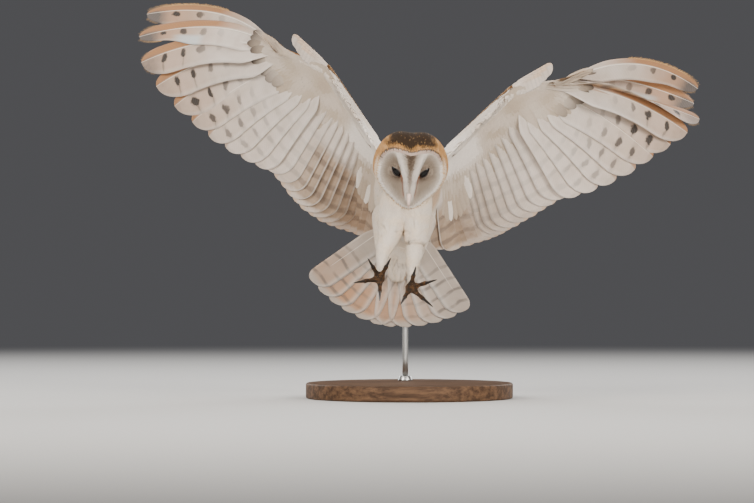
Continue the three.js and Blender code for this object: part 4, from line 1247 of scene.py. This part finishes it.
def tailFinish():
    # as the wing's, paler, with narrow bars across both vanes and a warm patch
    finish, along, across, number, under, quill, barb = vaneFinish("tailFeather")
    soft, fine = finish.noise(60.0, 3.0), finish.noise(600.0)
    phase = (along - 0.885 + (soft - 0.5) * 0.045 - abs(across) * 0.02) / 0.135
    bar = (1 - abs(phase - round(phase)).step(0.05, 0.17)) * along.step(0.3, 0.6)
    bar = bar * (1 - along.step(0.93, 0.95)) * (0.35 + abs(number - 5.5).step(1.5, 4.5) * 0.65)
    base = finish.mix(soft.step(0.3, 0.7) * 0.4, (0.51, 0.435, 0.37), (0.39, 0.315, 0.25))
    warm = along.step(0.35, 0.8) * (1 - along.step(0.9, 0.97)) * (1 - abs(number - 4.0).step(1.5, 7))
    below = finish.layers(
        base,
        (warm * (0.5 + soft * 0.6), (0.50, 0.26, 0.125)),
        (bar * 0.7 * soft.step(0.25, 0.55), (0.13, 0.11, 0.10)),
        (across.step(0.6, 1.0) * 0.5, (0.82, 0.78, 0.73)))
    veil = fine.step(0.42, 0.62) * soft.step(0.3, 0.7)
    above = finish.layers(
        (0.52, 0.29, 0.115),
        (veil * 0.7, (0.25, 0.21, 0.18)),
        (bar * 0.75, (0.10, 0.07, 0.05)),
        (along.step(0.94, 1.0) * 0.7, (0.66, 0.60, 0.54)))
    colour = finish.mix(under, above, below)
    colour = finish.mix(quill, colour, finish.mix(under, (0.22, 0.13, 0.06), (0.80, 0.74, 0.66)))
    lines = ripple(barb, 1.5)
    return barbed(finish, colour, quill, lines, lines, 0.10)


newPiece("tail_feathers", points, faces, tailFinish(), "flight_feathers", ["tail"], values, bake)
print("tail made")


# wing coverts, laid in rows on the wing's two faces

def sheetPoint(wing, w, v, face):
    # the wing's surface, out by half the thickness of the feathers that lie there
    root = through([(0, 5), (8, 7.5), (12, 9), (20, 8), (25.4, 3.5)], w)
    thick = blend(1.2, root, np.maximum(0, 1 - v / 0.42) ** 1.5)
    point, along, inner, under = wingFrame(wing, w, v)
    return point + under * face * (thick / 2)[..., None], along, inner, under * face


coverts = {
    "rows": 9, "first": [(0, 0.20), (4, 0.31), (8, 0.42), (12, 0.47), (16, 0.54), (21, 0.58), (25, 0.56)],
    "last": [(0, 0.02), (4, 0.04), (8, 0.06), (14, 0.07), (25, 0.05)],
    "spacing": (0.5, 0.22), "length": (64, 20), "width": (17, 8), "lift": 1.3,
}
primaryCoverts = {"span": (0.35, 6.6, 0.86), "length": 32, "width": 15, "lift": 3.2,
                  "tip": [(0, 0.22), (2, 0.28), (4, 0.34), (6, 0.375)]}
axillaries = {"span": (19.8, 25.0, 0.5), "length": 62, "width": 12, "lift": 1.9,
              "tip": [(19.8, 0.58), (22, 0.72), (25, 0.66)]}


def covertRow(k):  # row k of the coverts, from the longest over the flight feathers to the least
    t = k / (coverts["rows"] - 1)
    size = {name: blend(*coverts[name], t ** 0.8) for name in ("spacing", "length", "width")}
    at, first = np.array(coverts["first"]).T
    tip = list(zip(at, blend(first, through(coverts["last"], at), t)))
    return {"span": (-0.3, 25.2, size["spacing"]), "tip": tip, "lift": coverts["lift"] + 0.1 * t, **size}


def covertVanes(wing, row, face, rows=7):
    first, last, step = row["span"]
    w = np.arange(first, last, step)
    w = w + rng.uniform(-0.2, 0.2, len(w)) * step
    reach = lengthOf(w)
    length = row["length"] * rng.uniform(0.92, 1.08, len(w)) * np.interp(w, [0, 3, 6], [0.8, 0.95, 1])
    end = through(row["tip"], w) + rng.normal(size=len(w)) * 0.008
    s = 1 - (1 - np.linspace(0, 1, rows + 1)) ** 1.6
    v = end[:, None] - (1 - s) * (length / reach)[:, None]
    v = np.maximum(v, -4.5 / reach[:, None] - (1 - s) * 0.01)
    inside = np.maximum(v, -0.02)
    point, _, inner, out = sheetPoint(wing, w[:, None] * np.ones_like(v), inside, face)
    back = shaftDirection(wing, w)[:, None] * (np.minimum(v + 0.02, 0) * reach[:, None])[..., None]
    lift = -0.9 + row["lift"] * ease(s, 0, 0.85)
    middle = point + back + out * (lift * np.ones_like(v))[..., None]
    profile = np.sqrt(np.clip(1 - s ** 3.2, 0, 1)) * (0.6 + 0.4 * ease(s, 0, 0.5))
    half = row["width"] / 2 * profile * np.interp(w, [0, 4], [0.75, 1])[:, None]
    crest = 0.06 * half + 0.08
    return w, v, (middle, inner, out, half, crest)


def covertTints(row, face, k, w, v, tone):
    # below: beige with painted shade, white near the body, white feathers among the axillaries,
    # dusky tips on the primary coverts and small dots at the tips of others; above: golden and grey
    chance = rng.uniform(size=len(w))
    tipFrom = np.full(len(w), 0.7)
    if face < 0:
        root = tinted("golden", "grey", ease(tone, -0.6, 0.6) * 0.6)
        tip = tinted(root, "grey", 0.35 + 0.4 * rng.uniform(size=len(w)), "white", (chance < 0.07) * 0.8)
        edge = np.maximum(1 - ease(w, 0.4, 1.6), (k > 7) * 0.7)
        return tinted(root, "cream", edge), tinted(tip, "cream", edge), tipFrom
    inmost = ease(w + tone, 15.5, 18) * (1 - ease(v[:, -1], 0.22, 0.42))
    root = tinted("white", "beigeAndShade", (0.66 + 0.34 * ease(tone, -0.9, 1.0)) * (1 - inmost))
    dark = np.zeros(len(w))
    if row is axillaries:
        root = tinted(root, "beigeAndShade", np.full(len(w), 0.6), "white", (chance < 0.4) * 0.95)
    if row is primaryCoverts:
        dark = 1 - 0.5 * ease(w, 4, 7)
        tipFrom = np.full(len(w), -0.1)
    elif k < 7:
        dark = (chance < 0.24) * (1 - ease(w, 8, 13)) * 0.9
        tipFrom = np.full(len(w), 0.78)
    return root, tinted(root, "dusky", dark), tipFrom


for side, wing in wings.items():
    for face, label in ((1, "under"), (-1, "upper")):
        parts = []
        rows = [covertRow(k) for k in range(coverts["rows"])]
        rows += [axillaries, primaryCoverts] if face > 0 else []
        for k, row in enumerate(rows):
            if face < 0:  # the upper side starts a little behind the leading edge
                row = {**row, "span": (0.35, *row["span"][1:])}
            w, v, laid = covertVanes(wing, row, face)
            bake = np.stack([(w + 1) / 27, np.clip(0.3 + v[:, 0] + 0.4, 0.01, 0.99)], -1)
            parts.append((*laid, *covertTints(row, face, k, w, v, waves(laid[0][:, 3], 30, 21)), bake))
        *laid, root, tip, tipFrom, bake = stacked(parts, wing["mirror"])
        coatPiece(f"coverts_{label}_{side}", laid, root, tip, tipFrom, bake,
                  "white_plumage" if face > 0 else "golden_plumage")


# contour feathers on head, body, legs and arms

def headWay(x, forward, up):  # a direction given in the head's axes
    return inHead(x, forward, up) - inHead(0, 0, 0)


def headFlow(points):  # backwards, and outwards except below
    x, _, up = toHead(points)
    turn = np.arctan2(x, up)
    low = ease(-np.cos(turn), 0.2, 0.8)
    out = headWay(np.sin(turn), 0 * turn, np.cos(turn))
    return unit(headWay(0, -1, 0) + out * 0.35 * (1 - low)[:, None])


def bakeRound(points, low, high):  # unwrap round the body's middle line: turn and distance along it
    z = spinePlace(points)[0]
    turn = np.arctan2(points[..., 0], -(points[..., 2] - z)) / (2 * np.pi) + 0.5
    along = np.clip((points[..., 1] - low) / (high - low), 0, 1)
    return np.stack([turn, along], -1) * 0.98 + 0.01


coat = {
    "body": {"spacing": 1.5, "length": 13, "width": 2.6, "lift": 2.7},
    "head": {"spacing": 1.36, "length": 7.5, "width": 2.1, "lift": 2.5},
    "face": {"spacing": 0.98, "length": 5.0, "width": 0.9, "lift": 1.7},
    "leg": {"spacing": 1.35, "length": (13, 11, 6), "width": (2.7, 2.1, 1.3), "lift": (2.7, 2.2, 1.1)},
    "arm": {"spacing": 2.0, "length": (15, 9), "width": (5.6, 3.6), "lift": 1.7},
}


def bodyPart(points):  # 0 breast, 1 belly, 2 and 3 the back's two sides
    z = spinePlace(points)[0]
    above = points[..., 2] > z + 4
    under = np.where(points[..., 1] > 92, 4, (points[..., 1] > 22).astype(int))
    return np.where(above & (points[..., 1] < 100), 2 + (points[..., 0] > 0), under)


for part, label in enumerate(("breast", "belly", "back_right", "back_left", "undertail")):
    onBack, atTail = part in (2, 3), part == 4
    size = coat["body"]
    roots = rootsOn("body", 3.0 if atTail else size["spacing"], lambda p: bodyPart(p) == part)
    z, radius, flow = spinePlace(roots)
    flow = flow + np.array([0, 0, -0.35]) * (roots[:, 2] < z)[:, None]
    flow = np.where(atTail, np.array([0, 0.25, -1.0]) + roots * [0.012, 0, 0], flow)
    grown = ease(roots[:, 1], -20, 20) * (2.2 if atTail else 1)
    tint = bodyTint(roots)
    tipTint = mottled(tint, 0.93, 1.05)
    if onBack:  # droplets on the back: a white tip, now and then a dark one
        tipTint = tinted(tipTint, "white", (rng.uniform(size=len(roots)) < 0.035) * 0.85)
        tipTint = tinted(tipTint, "dark", (rng.uniform(size=len(roots)) < 0.07) * 0.8)
    else:  # a few small grey flecks at the top of the breast
        fleck = (rng.uniform(size=len(roots)) < 0.02) * (roots[:, 1] < 30)
        tipTint = tinted(tipTint, "grey", fleck * 0.8)
    laid = layOver(roots, flow, blend(9, size["length"], grown), blend(2.5, size["width"], grown),
                   size["lift"], 0.07)
    coatPiece("coat_" + label, laid, tint, tipTint, 0.6, bakeRound(roots, -45, 145),
              "golden_plumage" if onBack else "white_plumage")

size = coat["head"]
for half, label in ((-1, "right"), (1, "left")):
    roots = rootsOn("head", size["spacing"], lambda p: ~faceRatio(p)[4] & (p[:, 0] * half > 0))
    tint = headTint(roots)
    chance = rng.uniform(size=len(roots))
    high = ease(toHead(roots)[2], 0, 20)
    tipTint = tinted(mottled(tint, 0.85, 1.12), "dark", (chance < 0.05) * high * 0.6,
                     "paleGold", (chance > 0.985) * high * 0.8)
    laid = layOver(roots, headFlow(roots), size["length"], size["width"], size["lift"], 0.06)
    coatPiece("coat_head_" + label, laid, tint, tipTint, 0.6, bakeRound(roots, -90, 0), "golden_plumage")

# the face: feathers point away from the eyes, and down the bands
size = coat["face"]
roots = rootsOn("head", size["spacing"], lambda p: faceRatio(p)[4] & (faceRatio(p)[0] < 0.97))
ratio, x, up = faceRatio(roots)[:3]
clear = np.hypot(x - np.sign(x) * eye["across"], up - eye["up"]) > eye["radius"] * 0.9
clear &= ~((abs(x) < 2.2) & (up < -23))
roots, x, up, ratio = roots[clear], x[clear], up[clear], ratio[clear]
fromEye = np.stack([x - np.sign(x) * eye["across"], 0 * x, up - eye["up"]], -1)
onBand = bandMask(x, up)[:, None]
slope = (bandPlace(up - 1) - bandPlace(up + 1)) / 2 * np.sign(x)
down = unit(np.stack([slope, 0 * x, -np.ones_like(x)], -1))
local = unit(fromEye) * (1 - onBand) + down * onBand
flow = headWay(local[:, 0], 0 * x, local[:, 2])
tint = headTint(roots)
reach = size["length"] * (1 - 0.45 * ease(ratio, 0.75, 1.0)) * (1 + 0.25 * onBand[:, 0])
bake = np.stack([x / 90 + 0.5, up / 90 + 0.5], -1)
for label, chosen in (("right", x <= 0), ("left", x > 0)):
    laid = layOver(roots[chosen], flow[chosen], reach[chosen], size["width"], size["lift"], 0.05)
    coatPiece("coat_face_" + label, laid, tint[chosen], mottled(tint[chosen], 0.95, 1.05), 0.4, bake[chosen])

# ruff: rows of short stiff feathers along the disc's rim, dark over the brows, pale with
# dark tips below
ruff = {"count": 190, "width": 1.5, "lift": 3.1, "rows": [
    {"at": 0.405, "length": 4.4, "base": "white", "top": ("rust", 0.6), "low": 0.9, "tips": 0.05, "gold": 0},
    {"at": 0.422, "length": 5.2, "base": "cream", "top": ("dark", 0.88), "low": 0.7, "tips": 0.3, "gold": 0},
    {"at": 0.44, "length": 6.0, "base": "paleGold", "top": ("rust", 0.75), "low": 0, "tips": 0.25,
     "gold": 0.7}]}
parts = []
for k, row in enumerate(ruff["rows"]):
    turn = np.linspace(-np.pi, np.pi, ruff["count"], endpoint=False)
    turn = turn + rng.uniform(-0.4, 0.4, ruff["count"]) * 0.03
    roots, ahead, behind = (headSurface(np.full_like(turn, row["at"] + step), turn, -2.0)
                            for step in (0, 0.03, -0.02))
    flow = unit(ahead - behind) + headWay(0, 0.35, 0)
    top = ease(np.cos(turn), 0.3, 0.55)
    low = ease(-np.cos(turn), -0.25, 0.3)
    tone = tinted(row["base"], row["top"][0], top * row["top"][1], "white", low * row["low"])
    dark = (rng.uniform(size=len(turn)) < row["tips"]) * low * 0.85
    tipTone = tinted(tone, "dark", dark, "paleGold", top * row["gold"])
    laid = layOver(roots, flow, row["length"], ruff["width"], ruff["lift"], 0.05)
    parts.append((*laid, tone, tipTone, np.stack([turn / 7 + 0.5, turn * 0 + 0.3 + 0.2 * k], -1)))
*laid, tone, tipTone, bake = stacked(parts)
coatPiece("coat_ruff", laid, tone, tipTone, 0.45, bake)

for side, leg in legs.items():
    size = coat["leg"]
    roots = rootsOn("leg_" + side, size["spacing"])
    start, heel, foot = legPoints(leg)
    onShank = segmentGap(roots, start, heel)[0] - 6 - segmentGap(roots, heel, foot)[0]
    onShank = ease(onShank, -4, 4)[:, None]
    flow = unit(heel - start) * (1 - onShank) + unit(foot - heel) * onShank
    far = 2 * np.clip((start[2] + 10 - roots[:, 2]) / (start[2] + 10 - foot[2]), 0, 1)
    length, width, lift = (np.interp(far, [0, 1, 2], size[key]) for key in ("length", "width", "lift"))
    height = roots[:, 2] - blend(start[2], foot[2], far / 2)
    turn = np.arctan2(roots[:, 0] - start[0], height) / (2 * np.pi) + 0.5
    tint = legTint(roots)
    laid = layOver(roots, flow, length, width, lift, 0.1)
    coatPiece("coat_leg_" + side, laid, tint, mottled(tint, 0.93, 1.05), 0.5,
              np.stack([turn, far / 2], -1) * 0.98 + 0.01)

for side, wing in wings.items():
    roots = rootsOn("arm_" + side, coat["arm"]["spacing"])
    q = mirrored(roots, wing["mirror"])
    near = nearestOnWing(q, side)
    before = forwardOfRoots(q, side)
    flow = mirrored(wingTable[side]["along"][near], wing["mirror"])
    tint = armTint(q, side)
    bake = np.stack([near / 160 * 0.98 + 0.01,
                     np.clip((60 - before) / 160, 0, 1) * 0.48 + 0.01 + 0.5 * (wingSide(q, side) > 0)], -1)
    fore = ease(before, 0, 35)
    laid = layOver(roots, flow, *(blend(*coat["arm"][key], fore) for key in ("length", "width")),
                   coat["arm"]["lift"])
    coatPiece("coat_arm_" + side, laid, tint, mottled(tint, 0.93, 1.05), 0.5, bake)
print("coat made")


# eyes, lids, bill and claws

def sphere(centre, radius, rows=24, sides=36):  # rings round the front-to-back line
    polar, turn = np.meshgrid(np.linspace(0.04, np.pi - 0.04, rows),
                              np.linspace(0, 2 * np.pi, sides, endpoint=False), indexing="ij")
    ring = np.stack([np.sin(polar) * np.cos(turn), -np.cos(polar), np.sin(polar) * np.sin(turn)], -1)
    points = centre + radius * ring
    return closedRings(points, (centre + [0, -radius, 0], centre + [0, radius, 0]), True)


eyeFinish = Finish("eye", Roughness=0.05, Specular_IOR_Level=0.2, Coat_Weight=0.2, Coat_Roughness=0.02)
eyeFinish.set(Base_Color=eyeFinish.mix(eyeFinish.noise(300.0), (0.001, 0.001, 0.001), (0.004, 0.002, 0.0015)))
lids = {"radius": 9.75, "long": 7.9, "open": 2.9, "slant": 47, "thick": 0.9, "shape": 1.5, "reach": 88,
        "rise": 1.6, "tufts": 900}
lidFinish = Finish("eyelid", Roughness=0.6)
lidTone = lidFinish.mix(lidFinish.value("edge").step(0.02, 0.16), (0.03, 0.02, 0.017),
                        lidFinish.colour("tint"))
lidFinish.set(Base_Color=lidTone, Normal=lidFinish.bump(lidFinish.noise(900.0), 0.4, 0.0004))


def lidPoint(sign, around, polar, radius):
    # place on a sphere round the eye: polar 0 at the slit's middle, which is turned up a
    # little, and around 0 along the slit's outer end
    slant, rise = np.radians(lids["slant"]), np.arcsin(lids["rise"] / lids["radius"])
    a, b, out = np.sin(polar) * np.cos(around), np.sin(polar) * np.sin(around), np.cos(polar)
    up = a * np.sin(slant) + b * np.cos(slant)
    return inHead(sign * (eye["across"] + radius * (a * np.cos(slant) - b * np.sin(slant))),
                  eye["forward"] + radius * (out * np.cos(rise) - up * np.sin(rise)),
                  eye["up"] + radius * (up * np.cos(rise) + out * np.sin(rise)))


def slitEdge(around):  # polar angle of the slit's edge: an almond
    power = lids["shape"]
    wide = (abs(np.cos(around)) / lids["long"]) ** power + (abs(np.sin(around)) / lids["open"]) ** power
    return np.arcsin(wide ** (-1 / power) / lids["radius"])


eyeCentres = {side: inHead(sign * eye["across"], eye["forward"], eye["up"])
              for side, sign in (("left", 1), ("right", -1))}
for side, centre in eyeCentres.items():
    newPiece("eyeball_" + side, *sphere(centre, eye["radius"] - 0.1), eyeFinish.material, "eye",
             ["eye_" + side])
for side, centre in eyeCentres.items():
    # lid: a shell round the eye, open along the slit, with a rolled edge
    sign = wings[side]["mirror"]
    around = np.linspace(0, 2 * np.pi, 60, endpoint=False)
    t = np.linspace(0, 1, 14)[:, None]
    polar = blend(slitEdge(around), np.radians(lids["reach"]), t)
    swell = lids["radius"] + 0.35 * np.sin(np.pi * np.clip(t * 5, 0, 1)) + 0 * polar
    shells = [lidPoint(sign, around, polar, radius) for radius in (swell, swell - lids["thick"])]
    ring = np.concatenate([shells[0], shells[1][::-1]])
    rows, sides = ring.shape[:2]
    k = np.arange(sides)
    n = (k + 1) % sides
    end = (rows - 1) * sides
    faces = np.concatenate([gridFaces(rows, sides, True), np.stack([end + k, end + n, n, k], -1)])
    far = np.broadcast_to(t, swell.shape)
    far = np.concatenate([far, far[::-1]])
    newPiece("eyelid_" + side, ring.reshape(-1, 3), [faces[:, ::-sign]], lidFinish.material, "white_plumage",
             values={"edge": far.ravel(), "tint": headTint(ring.reshape(-1, 3))})
    # tufts on the lid, pointing away from the slit
    around = rng.uniform(0, 2 * np.pi, lids["tufts"])
    root = blend(slitEdge(around) + 0.09, np.radians(80), rng.uniform(size=lids["tufts"]) ** 0.8)
    s = np.linspace(0, 1, 4)
    polar = root[:, None] + s * 0.32
    middle = lidPoint(sign, around[:, None] + 0 * polar, polar, lids["radius"] + 0.1 + 0.9 * s + 0 * polar)
    out = unit(middle - centre)
    across = unit(np.cross(unit(np.gradient(middle, axis=1)), out))
    half = 0.42 * np.sqrt(np.clip(1.02 - s ** 2.2, 0, 1)) + 0 * polar
    near = np.exp(-((root - slitEdge(around)) / 0.16) ** 2)
    tint = tinted(headTint(middle[:, 1]), "dark", near * 0.75)
    coatPiece("lid_tufts_" + side, (middle, across, out, half, half * 0.2 + 0.05), tint, tint, 0.4,
              np.stack([around / 7 + 0.02, polar[:, 0] / 2], -1))

# bill: a tube that droops more and more; the feathers hide its first third
bill = {"length": 19, "width": 7.4, "depth": 9.5, "up": -15.5, "forward": 26.5, "droop": 56, "seen": 0.36}
t = np.linspace(bill["seen"], 0.99, 30)
droop = np.radians(bill["droop"]) * t * t
reach = bill["length"] * t
path = inHead(0 * t, bill["forward"] + reach * np.cos(droop), bill["up"] - reach * np.sin(droop))
size = (1 - t) ** 0.55 + 0.04
billFinish = Finish("bill", Roughness=0.38, Specular_IOR_Level=0.45)
streak = billFinish.noise(180.0, 3.0)
billFinish.set(Base_Color=billFinish.mix(streak, (0.80, 0.63, 0.54), (0.66, 0.47, 0.39)),
               Normal=billFinish.bump(streak, 0.2, 0.0004))
newPiece("bill_horn", *tube(path, bill["width"] / 2 * size, bill["depth"] / 2 * size, headWay(0, 0, 1), 24),
         billFinish.material, "bill", ["bill"])

clawFinish = Finish("claw", Roughness=0.38, Specular_IOR_Level=0.35)
clawFinish.set(Base_Color=clawFinish.mix(clawFinish.noise(220.0, 3.0), (0.006, 0.004, 0.003),
                                         (0.03, 0.02, 0.014)))
for side, leg in legs.items():
    for k, toe in enumerate(leg["toes"]):
        t = np.linspace(-0.12, 1, 22)
        width = 1.95 * np.clip(1 - np.clip(t, 0, 1), 0, 1) ** 0.75 + 0.12
        path = bent(toeLine(leg, toe)["claw"], t)
        newPiece(f"claw_{side}_{k + 1}", *tube(path, width * 0.8, width, frontal, 12),
                 clawFinish.material, "claw", [f"leg_{side}_claw_{k + 1}"])
print("eyes, bill and claws made")


# stand

stand = {"radius": 120, "height": 18, "bevel": 2.5, "rod": 3.5, "rodTop": (0, 84, -47), "back": 66,
         "bend": 32, "collar": 9, "collarHeight": 5, "gap": 0.35}


def revolved(profile, centre, sides=128):  # a closed outline of (radius, height) turned about a vertical line
    profile = np.array(profile, float)
    turn = np.linspace(0, 2 * np.pi, sides, endpoint=False)
    points = np.stack([centre[0] + profile[:, :1] * np.cos(turn), centre[1] + profile[:, :1] * np.sin(turn),
                       np.broadcast_to(profile[:, 1:], (len(profile), sides))], -1) / 1000
    return closedRings(points)


def rounded(corners, radius, steps=6):  # outline whose corners are cut by small arcs
    corners = np.array(corners, float)
    made = [corners[:1]]
    for before, here, after in zip(corners[:-2], corners[1:-1], corners[2:]):
        a, b = unit(before - here) * radius, unit(after - here) * radius
        made.append(bent([here + a, here, here + b], np.linspace(0, 1, steps)))
    return np.concatenate([*made, corners[-1:]])


woodFinish = Finish("darkWood", Roughness=0.6, Specular_IOR_Level=0.18)
grain = woodFinish.noise(5.0, 6.0, woodFinish.stretched(3.0, 40.0, 40.0), Roughness=0.6)
pores = woodFinish.noise(2.0, 2.0, woodFinish.stretched(20.0, 700.0, 700.0))
woodTone = woodFinish.mix(grain.step(0.35, 0.68), (0.055, 0.03, 0.017), (0.155, 0.085, 0.045))
woodTone = woodFinish.mix(pores.step(0.60, 0.72) * 0.6, woodTone, (0.02, 0.012, 0.008))
woodFinish.set(Base_Color=woodTone, Normal=woodFinish.bump(pores, 0.15, 0.0003))
radius, height = stand["radius"], stand["height"]
profile = rounded([(60, 0), (radius, 0), (radius, height), (40, height)], stand["bevel"])
newPiece("stand_base_wood", *revolved(profile, (0, 0)), woodFinish.material, "stand_wood", ["stand_base"],
         row=True)

steelFinish = Finish("brushedSteel", Metallic=1.0, Roughness=0.32)
brush = steelFinish.noise(1.0, 2.0, steelFinish.stretched(900.0, 900.0, 12.0))
steelFinish.set(Base_Color=steelFinish.mix(brush, (0.40, 0.40, 0.39), (0.56, 0.56, 0.55)),
                Roughness=0.26 + brush * 0.2)
top = inRow(np.array(stand["rodTop"], float)) * 1000
behind = top + [0, stand["back"], 0]
turn = np.linspace(0, np.pi / 2, 16)
arc = behind + stand["bend"] * np.stack([0 * turn, np.sin(turn) - 1, np.cos(turn) - 1], -1)
foot = np.array([top[0], behind[1], stand["height"] + stand["gap"]])
straight = np.linspace(0, 1, 8)[:, None]
path = np.concatenate([blend(top, arc[0], straight)[:-1], arc, blend(arc[-1], foot, straight)[1:]])
radius = np.full(len(path), stand["rod"])
points, faces = tube(path, radius, radius, np.array([1.0, 0, 0]), 28)
newPiece("stand_rod_steel", points / 1000, faces, steelFinish.material, "stand_steel", ["stand_rod"], row=True)
low, high, inside = foot[2], foot[2] + stand["collarHeight"], stand["rod"] + 0.1
profile = rounded([(inside, low), (stand["collar"], low), (stand["collar"] * 0.8, high), (inside, high)], 0.6)
newPiece("stand_collar_steel", *revolved(profile, foot[:2], 48), steelFinish.material, "stand_steel",
         ["stand_collar"], row=True)


# alulas: the small stiff feathers at the wrists

thumb = {"lengths": (58, 49.88, 40.6), "lead": 4.5, "trail": 10.5, "rise": 33, "sweep": 20}
for side, wing in wings.items():
    rise, sweep = np.radians(thumb["rise"]), np.radians(thumb["sweep"])
    along = np.array([np.cos(sweep) * np.cos(rise), np.sin(sweep), np.cos(sweep) * np.sin(rise)])
    normal = wingNormal(wing, 4)
    across = unit(np.cross(along, normal))
    across = across * np.sign(across[2])
    root = joint["wrist"] + across * limb["wrist"] * 0.4
    v = stationRows(blades["rows"])
    number = np.arange(3.0)
    reach = np.array(thumb["lengths"])
    order = number[:, None, None]
    aside = (6 - 3.2 * order) * (0.35 + 0.65 * v[:, None])
    shaft = root + along * (v[:, None] * reach[:, None, None]) + across * aside + normal * (order * 0.7)
    inner = np.broadcast_to(-across, shaft.shape)
    under = np.broadcast_to(normal, shaft.shape)
    lead = vaneWidth(v[None], thumb["lead"], reach[:, None], 0.7, 1.6)
    trail = vaneWidth(v[None], thumb["trail"], reach[:, None], 0.6, 1.0)
    points, faces, values, bake = bladeShells(shaft, inner, under, lead, trail, v, reach, number)
    values["number"] = values["number"] * 0 + 20
    values["tanned"] = values["number"] * 0
    points, faces = mirroredShape((points, faces), wing["mirror"])
    newPiece(f"alula_feathers_{side}", points, faces, bladeMaterial, "flight_feathers",
             [f"wing_{side}_alula"], values, bake)


# floor

floorSettings = {"radius": 3000, "low": -0.6, "top": -0.1, "pale": (0.60, 0.59, 0.57),
                 "edge": (0.085, 0.085, 0.09)}
radius, low, top = (floorSettings[key] for key in ("radius", "low", "top"))
points, faces = revolved([(10, low), (radius, low), (radius, top), (10, top)], (0, 0), 96)
floorMesh = bpy.data.meshes.new("floor")
floorMesh.from_pydata(points.tolist(), [], [f for group in faces for f in group.tolist()])
floor = bpy.data.objects.new("floor", floorMesh)
scene.collection.objects.link(floor)
floorFinish = Finish("paleFloor", Roughness=0.95, Specular_IOR_Level=0.0, Emission_Strength=1.0)
length = floorFinish.node("VectorMath", {"operation": "LENGTH"}, "Value", i0=floorFinish.place())
fade = length.step(0.5, 2.4)
floorFinish.set(Base_Color=floorFinish.mix(fade, floorSettings["pale"], (0, 0, 0)),
                Emission_Color=floorFinish.mix(fade, (0, 0, 0), floorSettings["edge"]))
floorMesh.materials.append(floorFinish.material)
print("stand and floor made")
